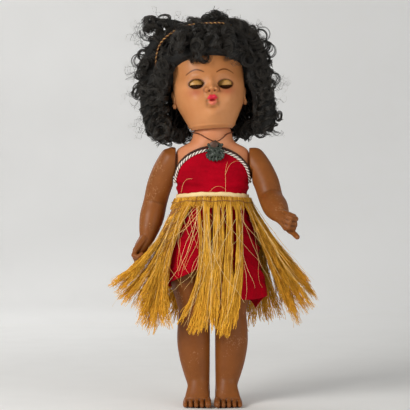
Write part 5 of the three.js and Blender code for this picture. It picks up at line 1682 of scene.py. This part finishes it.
def top_curls():
    """Short round curls that lie over the locks and the crown, open towards the front or outwards."""
    picker = random.Random(23)
    found = []

    def shaken(*reach):
        return np.array([picker.uniform(low, high) for low, high in reach])

    def lean():
        return shaken((-0.4, 0.4), (-0.9, 0.1), (-0.4, 0.4))

    def pairs(places, axis, girth):
        for place in np.array(places):
            for side in (1, -1):
                mirror = (side, 1, 1)
                found.append(swirl(place * mirror, np.array(axis) * mirror + lean(), girth))

    for path, radius, _side in all_locks() * CURLS_TO_A_LOCK:
        middle, outward, side = lock_frames(path, 24)
        i = picker.randrange(2, 23)
        turn = picker.uniform(-1.9, 1.9)
        away = outward[i] * math.cos(turn) + side[i] * math.sin(turn)
        axis = away * picker.uniform(0.2, 1) + lean()
        found.append(swirl(middle[i] + away * (radius - 4), axis, picker.uniform(0.7, 1.25)))
    for place in smooth_line(COVER_CURLS, 16):
        away = np.array([0.3, -1, 0.3])
        found.append(swirl(place, away + lean(), picker.uniform(0.85, 1.2)))
    for place in smooth_line(CHEEK_CURLS, 13):
        for side in (1, -1):
            middle = place * (side, 1, 1) + shaken((-5, 5), (-2, 2), (-3, 3))
            away = np.array([0.3 * side, -1, 0.1])
            found.append(swirl(middle, away + lean(), picker.uniform(0.9, 1.3)))
    pairs(NAPE_CURLS, (0.2, -1, 0), 1.05)
    for _ in range(CROWN_CURLS):
        turn = np.array(picker.uniform(0, FULL_TURN))
        start = head_points(turn, np.array(picker.uniform(88, 110)), 9.0) + [0, 0, 4]
        if start[1] > -26:
            away = np.array([math.cos(turn), math.sin(turn), 0.7])
            found.append(swirl(start, away + lean(), picker.uniform(0.8, 1.2)))
    pairs(FILLING_CURLS, (1.2, 0.4, 0.5), 1.2)
    grow_curls("short_curls", found, "short curls", 400)


def head_room():
    """The room inside the head, which the wig leaves free."""
    turn = round_turns(80)
    rings = [head_points(turn, np.full(80, z), -1.0) for z in np.linspace(9, HEAD_TOP - 1.0, 60)]
    return from_rings("head room", in_head(rings), HAIR_UNDER)


def scalp_rings(heights, sides, edge, ease, under, rise, crown):
    """Rings over the head that lie under its skin before the hairline and stand off behind it."""
    turn = round_turns(sides)
    rings = []
    for z in heights:
        flat = head_points(turn, np.full(sides, z))
        wide = head_points(turn, np.full(sides, z), 10.0) - flat
        behind = np.clip((flat[:, 1] - np.interp(z, *HAIRLINE) - edge) / ease, 0, 1)
        ring = flat + wide * (under + rise * behind)[:, None] / 10
        ring[:, 2] += crown * np.clip((z - 88) / 23, 0, 1) ** 2 * behind
        rings.append(ring)
    return in_head(rings)


def hair_core():
    """The dark mass under the ringlets: the grown scalp behind the hairline, and the locks' cores."""
    parts = [rings_part(scalp_rings(np.linspace(12, HEAD_TOP, 50), 80, 0, 8, -3, 11, 6))]
    for path, radius, _side in all_locks():
        middle = smooth_line(path, 16)[:-1]
        rows = [tuple(p) + (radius * 0.52,) * 3 for p in middle]
        parts.append(rings_part(in_head(limb_rings(rows, 24, 20))))
    made = moulded("hair_mass", parts, 1.7, 3, HAIR_UNDER)
    cut_away(made, head_room())
    return dress(made, "head_body", "hair", "wig_front", "wig_back")


def wig_cap():
    rows = 60
    sides = 120
    rings = scalp_rings(np.linspace(22, HEAD_TOP, rows), sides, 2, 3, -2.5, 3.4, 0)
    made = from_rings("wig_cap_net", rings, CAP_NET)
    around = np.linspace(0, 210, sides, endpoint=False)
    write_cloth_map(made, np.tile(around, rows), np.repeat(np.linspace(0, 110, rows), sides))
    cut_away(made, head_room())
    return dress(made, "head_body", "hair", "wig_cap")


# Open loops over the crown and at the sides: middle x, y, z, radius, first and last angle in degrees
HAIR_LOOPS = [
    (9, 2, 119, 6.5, -40, 290),
    (15, 6, 117, 7.5, -70, 240),
    (27, 4, 112, 6.5, -30, 300),
    (-56, 8, 112, 7.5, -200, 140),
    (-48, 6, 117, 5.5, -160, 160),
    (57, 4, 100, 7, -90, 230),
    (63, 8, 86, 6.5, -120, 190),
    (-68, 8, 84, 6.5, 40, 330),
    (67, 10, 58, 6, -120, 190),
    (-71, 10, 52, 6, 40, 330),
]
FLYAWAYS = 230
# Flyaway hairs that reach past these are left out
HAIR_BACK = 62.0
HAIR_LOW = 264.0


def loose_hair():
    picker = random.Random(9)
    paths = []
    for x, y, z, radius, first, last in HAIR_LOOPS:
        for _ in range(3):
            turns = np.radians(np.linspace(first, last, 22) + picker.uniform(-25, 25))
            size = radius * picker.uniform(0.8, 1.15)
            slope = picker.uniform(-5, 5)
            middle = np.array([x, y, z]) + [picker.uniform(-2, 2) for _ in range(3)]
            paths.append(in_head(np.column_stack([
                middle[0] + size * np.cos(turns),
                middle[1] + slope * np.linspace(-0.5, 0.5, 22),
                middle[2] + size * np.sin(turns),
            ])))
    dress(strands("open_curls", paths, HAIR, "open curls", 31), "head_body", "hair")
    paths = []
    locks = all_locks()
    for _ in range(FLYAWAYS):
        path, radius, _side = picker.choice(locks)
        middle = smooth_line(path, 20)
        start = middle[picker.randrange(4, 20)]
        away = np.array([start[0], start[1] - 12, max(start[2] - 70, -20) * 0.5])
        away = away / np.linalg.norm(away) + [picker.uniform(-0.6, 0.6) for _ in range(3)]
        bend = np.array([picker.uniform(-1, 1) for _ in range(3)]) * 7
        reach = radius + picker.uniform(0, 3.5)
        path = in_head(smooth_line([
            start,
            start + away * reach * 0.6,
            start + away * reach + bend * 0.5,
            start + away * reach * 0.85 + bend * 1.3,
        ], 14))
        if path[:, 1].max() < HAIR_BACK and path[:, 2].min() > HAIR_LOW:
            paths.append(path)
    dress(strands("flyaway_hairs", paths, HAIR, "flyaways", 37), "head_body", "hair")


def headband():
    half = [(17, 112), (34, 106), (46, 96), (51, 81), (50, 66)]
    left = [(x, -14 + 0.42 * (113 - max(z, 66)), z) for x, z in half] + [(42, 26, 52), (24, 43, 44)]
    right = [(-x, y, z) for x, y, z in left]
    points = [(0, -14, 113)] + left + [(0, 49, 42)] + right[::-1]
    path = in_head(smooth_line(points + points[:1], 161)[:-1])
    made = twisted_loop("headband_cord", path, BAND, 4.2, 0.5, 0.48, 3, 760)
    return dress(made, "head_body", "headband", "headband")


# Trimmings
def bodice_trims():
    turn = round_turns(240)
    path = on_torso(turn, bodice_top(turn) + 0.5, CLOTH_OFF + CLOTH + 0.9)
    made = twisted_loop("edging_braid", path, EDGING, 3.4, 0.55, 0.62, 3, 700)
    dress(made, "torso_body", "edging", "bodice_edging")
    path = on_torso(turn, bodice_top(turn) - 2.7, CLOTH_OFF + CLOTH + 1.1)
    made = twisted_loop("bodice_twist", path, TRIM, -7.4, 0.8, 0.64, 4, 640)
    dress(made, "torso_body", "trim_cord", "bodice_cord")


def neck_cord():
    def round_neck(turn, off, up):
        t = math.radians(turn)
        r = NECK_R + 0.6 + off
        return (r * math.cos(t), r * math.sin(t), NECK_HEIGHT + up)

    hang = (PENDANT_ASIDE, -PENDANT_FRONT, PENDANT_PIVOT)
    points = [
        (hang[0] - 2.2, hang[1], hang[2] + 0.1),
        (hang[0] + 2.2, hang[1], hang[2] + 0.1),
        (9.5, -24, 264.5),
        round_neck(-48, 1.4, 3),
        round_neck(-12, 0.6, 5.4),
        round_neck(30, 0.6, 5.8),
        round_neck(90, 0.6, 5.8),
        round_neck(150, 0.6, 5.8),
        round_neck(192, 0.6, 5.4),
        round_neck(232, 1.4, 3),
        (-5.5, -24, 264.5),
    ]
    path = smooth_line(points + points[:1], 121)[:-1]
    made = twisted_loop("neck_thong", path, THONG, 2.6, 0.3, 0.36, 2, 700)
    return dress(made, "torso_body", "neck_cord", "neck_cord")


# Sunk places of the carving: aside, up from the pivot and size
PENDANT_HOLES = [
    (-4.9, -11, 1.6), (4.9, -11, 1.6), (-3.1, -4.4, 1.1), (3.1, -4.4, 1.1),
    (0, -15.6, 1.2), (-3, -15.8, 0.9), (3, -15.8, 0.9), (0, -9.6, 0.9),
]


def pendant():
    """A small carved figure: a wide body with a knobbed edge, a head with two ring eyes, a brown top."""
    at = np.array([PENDANT_ASIDE, -PENDANT_FRONT, PENDANT_PIVOT])

    def put(part):
        return part[0] + at, part[1]

    parts = [
        oval_part((0, 0, -5.2), (7.0, 1.5, 4.8)),
        oval_part((0, 0, -13.2), (8.2, 1.6, 5.4)),
        oval_part((0, -0.6, -10), (5.5, 1.4, 3)),
        oval_part((0, 0, -0.6), (1.7, 1.2, 1.7)),
    ]
    for turn in np.radians(np.linspace(180, 360, 8)):
        knob = (8.0 * math.cos(turn), -0.2, -13.4 + 5.2 * math.sin(turn))
        parts.append(oval_part(knob, (1.6, 1.6, 1.6), 12, 8))
    for side in (1, -1):
        parts.append(oval_part((side * 7.4, -0.2, -9.2), (1.7, 1.5, 1.7), 12, 8))
        parts.append(oval_part((side * 6.6, -0.2, -3.4), (1.5, 1.4, 1.5), 12, 8))
        for turn in np.radians(np.arange(0, 360, 30)):
            spot = (side * 3.1 + 1.7 * math.cos(turn), -1.5, -4.4 + 1.7 * math.sin(turn))
            parts.append(oval_part(spot, (0.6, 0.6, 0.6), 8, 6))
        parts.append(peg_part((side * 1.2, -1.4, -13), (side * 4.6, -1.3, -15.5), 0.7, sides=10))
    parts.append(peg_part((-2.2, -1.5, -8.6), (2.2, -1.5, -8.6), 0.6, sides=10))
    parts.append(oval_part((0, -1.7, -11.5), (0.9, 0.7, 2.2), 10, 8))
    made = moulded("pendant_carving", [put(part) for part in parts], 0.3, 2, PENDANT)
    points = points_of(made)
    for x, z, size in PENDANT_HOLES:
        dent(points, at + [x, -1.6, z], (size, 3, size), 1.5)
    write_points(made, points)
    write_crease_shade(made, 16, 0.2)
    dress(made, "pendant_body", "pendant", "pendant")
    top = oval_part((-1.2, -1.0, -3.2), (4.4, 1.3, 3.4))
    dress(moulded("pendant_top", [put(top)], 0.3, 1, PENDANT_CAP), "pendant_body", "pendant")


# Raffia bundles: turn at the root and at the tip, height of the tip, flare and width of the tip
BUNDLES = {
    "front_1": (-112, -120, 78, 2, 9),
    "front_2": (-101, -109, 70, 2, 9),
    "front_3": (-84, -95, 72, 2, 9),
    "front_4": (-74, -88, 84, 2, 9),
    "front_5": (-65, -81, 71, 2, 9),
    "front_6": (-50, -73, 75, 2, 9),
    "right_1": (-124, -136, 73, 10, 13),
    "right_2": (-135, -149, 79, 22, 14),
    "right_3": (-146, -158, 98, 36, 12),
    "right_4": (-158, -164, 113, 50, 9),
    "left_1": (-34, -14, 84, 24, 14),
    "left_2": (-22, -9, 96, 46, 10),
    "left_3": (-8, 4, 113, 50, 9),
    "back_1": (14, 20, 92, 26, 14),
    "back_2": (36, 42, 80, 17, 14),
    "back_3": (58, 63, 74, 15, 14),
    "back_4": (79, 81, 70, 14, 14),
    "back_5": (101, 99, 70, 14, 14),
    "back_6": (122, 118, 74, 15, 14),
    "back_7": (147, 141, 82, 17, 14),
}
FRONT, RIGHT, LEFT, BACK = (
    [name for name in BUNDLES if name.startswith(place)] for place in ("front", "right", "left", "back")
)
# How far a bundle bows aside halfway down, in degrees
BOWED = {
    "right_1": -17.0, "right_2": -12.0, "right_3": -4.0, "front_1": 13.0, "front_2": 9.0,
    "front_3": 3.0, "front_6": 1.0, "left_1": 7.0, "left_2": 1.0,
}
BUNDLE_LINES = 5
THIN_BUNDLES = ["front_1", "front_4"]
LINE_POINTS = 18
# Bundles with their root beyond this turn flare later
RIGHT_FAN = -118.0
RAFFIA_TOP = WAIST_HEIGHT - BAND_HIGH / 2 - GAP


def on_skirt(turn, height, off):
    return oval_points(skirt_at(height), turn, height, off)


def bundle_row(names, place):
    """A bundle's measures, or those between two neighbours, by its place in a list of names."""
    rows = [BUNDLES[name] + (BOWED.get(name, 0.0),) for name in names]
    keys = np.arange(len(names))
    return [float(np.interp(place, keys, column)) for column in np.transpose(rows)]


def bundle_line(row, aside, sway=0.0, phase=0.0, flick=0.0):
    """A line down a bundle, set to one side by a share of its half width; it sways and its end may turn."""
    root, tip, low, flare, wide, bow = row
    s = np.linspace(0, 1, LINE_POINTS)
    height = RAFFIA_TOP + 1.5 + (low - RAFFIA_TOP) * s
    turn = np.radians(root + (tip - root) * s + bow * np.sin(math.pi * s))
    off = 3.9 * np.minimum(1, 0.72 + 2 * s) + flare * s ** (2.3 if root < RIGHT_FAN else 1.6)
    half = 2.4 + (0.5 * wide - 0.5) * s ** 2.6
    aside = half * aside + sway * np.sin(FULL_TURN * 1.3 * s + phase) * s
    aside = aside + flick * np.maximum(0, (s - 0.6) / 0.4) ** 2
    sideways = np.column_stack([-np.sin(turn), np.cos(turn), np.zeros(LINE_POINTS)])
    return on_skirt(turn, height, off) + sideways * aside[:, None]


# The leg given for a group, which its pieces are not attached to, the bundles that it replaces and, for a
# fan, the bundles that it runs across with its first and last place among them and its clumps
RAFFIA_GROUPS = {
    "front_right": ("right_leg_body", FRONT[:2], None),
    "front_left": ("left_leg_body", FRONT[2:], None),
    "right_front": ("right_leg_body", RIGHT[:1], (RIGHT[:2], -0.3, 0.5, 3)),
    "right": (None, RIGHT[1:], (RIGHT, 0.9, 3.3, 7)),
    "left": (None, LEFT, (LEFT, -0.3, 2.3, 8)),
    "back_left": (None, BACK[:4], (BACK[:4], -0.3, 3.3, 10)),
    "back_right": (None, BACK[4:], (BACK[4:], -0.3, 2.3, 8)),
}


def clump_lines(row, picker, lines, loose):
    """The lines of one clump, which bend together and part a little at the end."""
    root, tip, low, flare, wide, bow = row
    low += loose * picker.uniform(-7, 7)
    flare *= picker.uniform(0.82, 1.03)
    row = (root, tip, low, flare, wide, bow)
    sway = loose * picker.uniform(2.0, 5.5)
    phase = picker.uniform(0, FULL_TURN)
    flick = loose * picker.uniform(-10, 10)
    return [
        bundle_line(row, aside, sway, phase + picker.uniform(-0.6, 0.6), flick + picker.uniform(-2, 2))
        for aside in (np.linspace(-0.9, 0.9, lines) if lines > 1 else [0.0])
    ]


def group_lines(names, fan, picker):
    """Guide lines of a group: a clump to each bundle, or more and smaller clumps all over a fan."""
    found = []
    if not fan:
        for i, name in enumerate(names):
            lines = 1 if name in THIN_BUNDLES else BUNDLE_LINES
            found += clump_lines(bundle_row(names, i), picker, lines, 0.35)
        return found
    across, first, last, clumps = fan
    for place in np.linspace(first, last, clumps):
        row = bundle_row(across, place)
        row[4] *= 0.7
        found += clump_lines(row, picker, 3, 1.0)
    return found


def follow(made, leg_body):
    """A hanging piece rides on the torso; one given a leg only has its place written into its points."""
    if leg_body:
        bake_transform(made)
    else:
        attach(made, "torso_body")


def raffia():
    """Fine fibres along the lines of every bundle; at the sides and behind they run together into fans."""
    picker = random.Random(6)
    for number, (group, (leg_body, names, fan)) in enumerate(RAFFIA_GROUPS.items()):
        kind = "back fan" if names[0] in BACK else "fan" if fan else "bundle"
        paths = group_lines(names, fan, picker)
        made = strands("raffia_fibres_" + group, paths, RAFFIA, kind, 50 + number)
        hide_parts(*["raffia_" + name for name in names])
        follow(made, leg_body)


def raffia_heading():
    """The gathered strip under the waistband, from which the bundles hang."""
    picker = random.Random(14)
    paths = []
    for turn in round_turns(150):
        s = np.linspace(0, 1, 6)
        lean = turn + picker.uniform(-0.05, 0.05) * s
        height = band_low(np.full(6, turn)) + 0.8 - picker.uniform(9.5, 13.5) * s
        paths.append(on_skirt(lean, height, 2.6 + picker.uniform(1.6, 2.6) * s ** 0.5))
    dress(strands("raffia_heading", paths, RAFFIA, "heading", 81), "torso_body", "raffia")


def wander(line, picker, drift, lift):
    """A piece of a line that leaves its bundle sideways and stands off a little."""
    first = picker.randrange(0, 9)
    part = line[first:picker.randrange(first + 5, LINE_POINTS) + 1]
    share = np.linspace(0, 1, len(part))[:, None]
    turn = np.arctan2(part[:, 1], part[:, 0])[:, None]
    sideways = np.hstack([-np.sin(turn), np.cos(turn), 0 * turn])
    outwards = np.hstack([np.cos(turn), np.sin(turn), 0 * turn])
    return part + sideways * drift * share ** 1.4 + outwards * (1.2 + lift * share)


# Fibres that stick up from the waistband over the bodice: turn in degrees and height above the waist
BODICE_STRAYS = [
    [(-70, 3), (-71, 15), (-72, 26), (-69, 35)],
    [(-72, 20), (-66, 30), (-56, 34), (-46, 33)],
    [(-148, 3), (-140, 12), (-128, 17), (-112, 16)],
    [(-96, 3), (-88, 8), (-78, 9), (-66, 5)],
]


def bodice_stray(marks):
    turn = np.radians([mark[0] for mark in marks])
    height = WAIST_HEIGHT + np.array([mark[1] for mark in marks])
    return smooth_line(on_torso(turn, height, CLOTH_OFF + CLOTH + 2.2), 14)


def crossing_line(picker):
    """A single fibre from the waist down over the front of the skirt, across the bundles."""
    root = picker.uniform(-150, -28)
    tip = root + picker.choice([-1, 1]) * picker.uniform(18, 62)
    row = (root, tip, picker.uniform(88, 160), picker.uniform(3, 9), 6, picker.uniform(-26, 26))
    return bundle_line(row, picker.uniform(-1, 1), picker.uniform(0, 6), picker.uniform(0, FULL_TURN))


LEG_STRAYS = 10
SIDE_STRAYS = 26
CROSSING_STRAYS = 26


def stray_raffia():
    """Single pale fibres that left their bundle and wander over the cloth."""
    picker = random.Random(17)
    for number, (group, (leg_body, names, fan)) in enumerate(RAFFIA_GROUPS.items()):
        paths = []
        for _ in range(LEG_STRAYS if leg_body else SIDE_STRAYS):
            row = bundle_row([picker.choice(names)], 0)
            line = bundle_line(row, picker.uniform(-1, 1))
            paths.append(wander(line, picker, picker.uniform(-26, 26), picker.uniform(0, 5)))
        crossing = [crossing_line(picker) for _ in range(0 if fan else CROSSING_STRAYS)]
        paths += [line for line in crossing if (line[-1][0] > 0) == (leg_body == "left_leg_body")]
        made = strands("stray_fibres_" + group, paths, STRAY, "stray", 71 + number)
        follow(made, leg_body)
    paths = [bodice_stray(marks) for marks in BODICE_STRAYS]
    dress(strands("bodice_fibres", paths, STRAY, "fine stray", 79), "torso_body", "raffia_pale")


def curly_fibres():
    """Brown fibres that coil beside the right hand."""
    picker = random.Random(41)
    paths = []
    for _ in range(16):
        row = bundle_row(RIGHT[1:], picker.uniform(0.3, 2))
        paths.append(bundle_line(row, picker.uniform(-1, 1)))
    dress(strands("curly_fibres", paths, BROWN_FIBRE, "curly", 75), "torso_body", "raffia")


def stitch_row():
    turn = round_turns(240)
    height = band_low(turn) - 3.6 + 0.5 * np.sin(turn * 5) + 0.4 * np.sin(turn * 13)
    path = on_skirt(turn, height, 5.2 + 0.4 * np.sin(turn * 17))
    made = twisted_loop("raffia_stitching", path, BROWN_TWIST, 4.5, 0.3, 0.3, 2, 700)
    return dress(made, "torso_body", "raffia")


# Camera, light and floor
CAMERA_AWAY = 1.30
CAMERA_X = -0.0075
CAMERA_Z = 0.199
FIELD = 0.410
LAMP_AIM = (0, 0, 0.2)


def camera():
    data = bpy.data.cameras.new("camera")
    data.sensor_width = 36.0
    data.lens = data.sensor_width * (CAMERA_AWAY + BODY_BACK * MM) / FIELD
    made = placed("camera", data)
    made.location = (CAMERA_X, -CAMERA_AWAY, CAMERA_Z)
    made.rotation_euler = (math.pi / 2, 0, 0)
    bpy.context.scene.camera = made


def lamp(name, place, size, power, tint=(1, 1, 1)):
    """A square lamp that looks at the middle of the doll."""
    data = bpy.data.lights.new(name, "AREA")
    data.size = size
    data.energy = power
    data.color = tint
    made = placed(name, data)
    made.location = place
    made.rotation_euler = (Vector(LAMP_AIM) - Vector(place)).to_track_quat("-Z", "Y").to_euler()


FAR_TONE = srgb(219, 218, 216)
FLOOR_HALF = 3.0
FLOOR_FRONT = -2.6
FLOOR_LOW = -0.0002
BEND_START = 1.2
BEND_R = 0.9
WALL_TOP = 3.2


def backdrop_paper():
    """Pale paper; the camera sees its upright part as light as the floor, and one tone far off."""
    made, tree, shader = finish("backdrop paper", Roughness=0.9, Specular_IOR_Level=0.1)
    place = add(tree, "ShaderNodeSeparateXYZ", {"Vector": own_place(tree)}).outputs

    def eased(value, low, high):
        return spread(tree, value, low, high, interpolation_type="SMOOTHSTEP")

    upright = eased(place["Y"], 0.1, 1.5)
    aside = spread(tree, place["X"], -0.5, 0.5)
    paper = mix_colour(tree, upright, srgb(241, 241, 240), srgb(246, 246, 245))
    shaded = mix_colour(tree, upright, srgb(234, 234, 232), srgb(230, 230, 229))
    tone = linked_group(tree, MOTTLE, {"Colour": mix_colour(tree, aside, paper, shaded),
                                       "Stain": srgb(214, 213, 211), "Size": 3.0, "Amount": 0.2})["Colour"]
    beside = eased(calc(tree, "ABSOLUTE", place["X"]), 0.8, 1.8)
    far = calc(tree, "MAXIMUM", eased(place["Y"], -0.3, -0.95), beside)
    seen = add(tree, "ShaderNodeLightPath").outputs["Is Camera Ray"]
    base = mix_colour(tree, calc(tree, "MULTIPLY", seen, far), tone, (0.0, 0.0, 0.0, 1.0))
    tree.links.new(base, shader.inputs["Base Color"])
    tree.links.new(mix_colour(tree, far, tone, FAR_TONE), shader.inputs["Emission Color"])
    lift = calc(tree, "MULTIPLY", upright, 0.27)
    near = calc(tree, "MULTIPLY", lift, calc(tree, "SUBTRACT", 1.0, far))
    glow = calc(tree, "MULTIPLY", seen, calc(tree, "ADD", near, far))
    tree.links.new(glow, shader.inputs["Emission Strength"])
    return made


def studio():
    scene = bpy.context.scene
    scene.view_settings.view_transform = "Standard"
    world = bpy.data.worlds.new("studio")
    scene.world = world
    world.use_nodes = True
    tree = world.node_tree
    back = tree.nodes["Background"]
    back.inputs["Color"].default_value = FAR_TONE
    seen = add(tree, "ShaderNodeLightPath").outputs["Is Camera Ray"]
    tree.links.new(calc(tree, "MULTIPLY_ADD", seen, 0.55, 0.45), back.inputs["Strength"])
    lamp("key", (-0.9, -0.95, 0.75), 0.6, 15.5, (1.0, 0.98, 0.95))
    lamp("fill", (0.9, -1.0, 0.3), 0.9, 6.0)
    lamp("rim", (-0.6, 0.9, 0.9), 0.8, 4.0)
    profile = [(FLOOR_FRONT, FLOOR_LOW), (BEND_START, FLOOR_LOW)]
    for turn in np.radians(np.linspace(6, 90, 15)):
        profile.append((BEND_START + BEND_R * math.sin(turn), BEND_R - BEND_R * math.cos(turn)))
    profile.append((BEND_START + BEND_R, WALL_TOP))
    mesh = bpy.data.meshes.new("backdrop")
    points = [(x, y, z) for y, z in profile for x in (-FLOOR_HALF, FLOOR_HALF)]
    faces = [(2 * i, 2 * i + 1, 2 * i + 3, 2 * i + 2) for i in range(len(profile) - 1)]
    mesh.from_pydata(points, [], faces)
    mesh.polygons.foreach_set("use_smooth", [True] * len(faces))
    mesh.materials.append(backdrop_paper())
    made = placed("backdrop", mesh)


HIDDEN_FINISHES = {
    "arm_elastic": RUBBER,
    "leg_elastic": RUBBER,
    "left_arm_hook": WIRE,
    "right_arm_hook": WIRE,
    "left_leg_hook": WIRE,
    "right_leg_hook": WIRE,
    "head_hook": WIRE,
    "head_crossbar": DOWEL,
    "eye_rocker": WIRE,
    "eye_weight": LEAD,
    "eye_bracket": BRACKET,
}


def hidden_works():
    """The stringing and the eye works stay as the part has them, with their own finishes."""
    for name, material in HIDDEN_FINISHES.items():
        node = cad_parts[name]
        node.data.materials.clear()
        node.data.materials.append(material)


camera()
studio()
hidden_works()
torso()
for side, name in ((1, "left"), (-1, "right")):
    leg(side, name + "_leg")
    arm(side, name + "_arm", LEFT_ARM_FORWARD if side > 0 else RIGHT_ARM_FORWARD)
    eye(side, name)
    eyelid(side, name)
    lashes(side, name)
head()
ears()
bodice()
left_skirt()
right_skirt()
waistband()
bodice_trims()
neck_cord()
pendant()
raffia()
raffia_heading()
stitch_row()
stray_raffia()
curly_fibres()
wig_cap()
hair_core()
curls()
top_curls()
loose_hair()
headband()
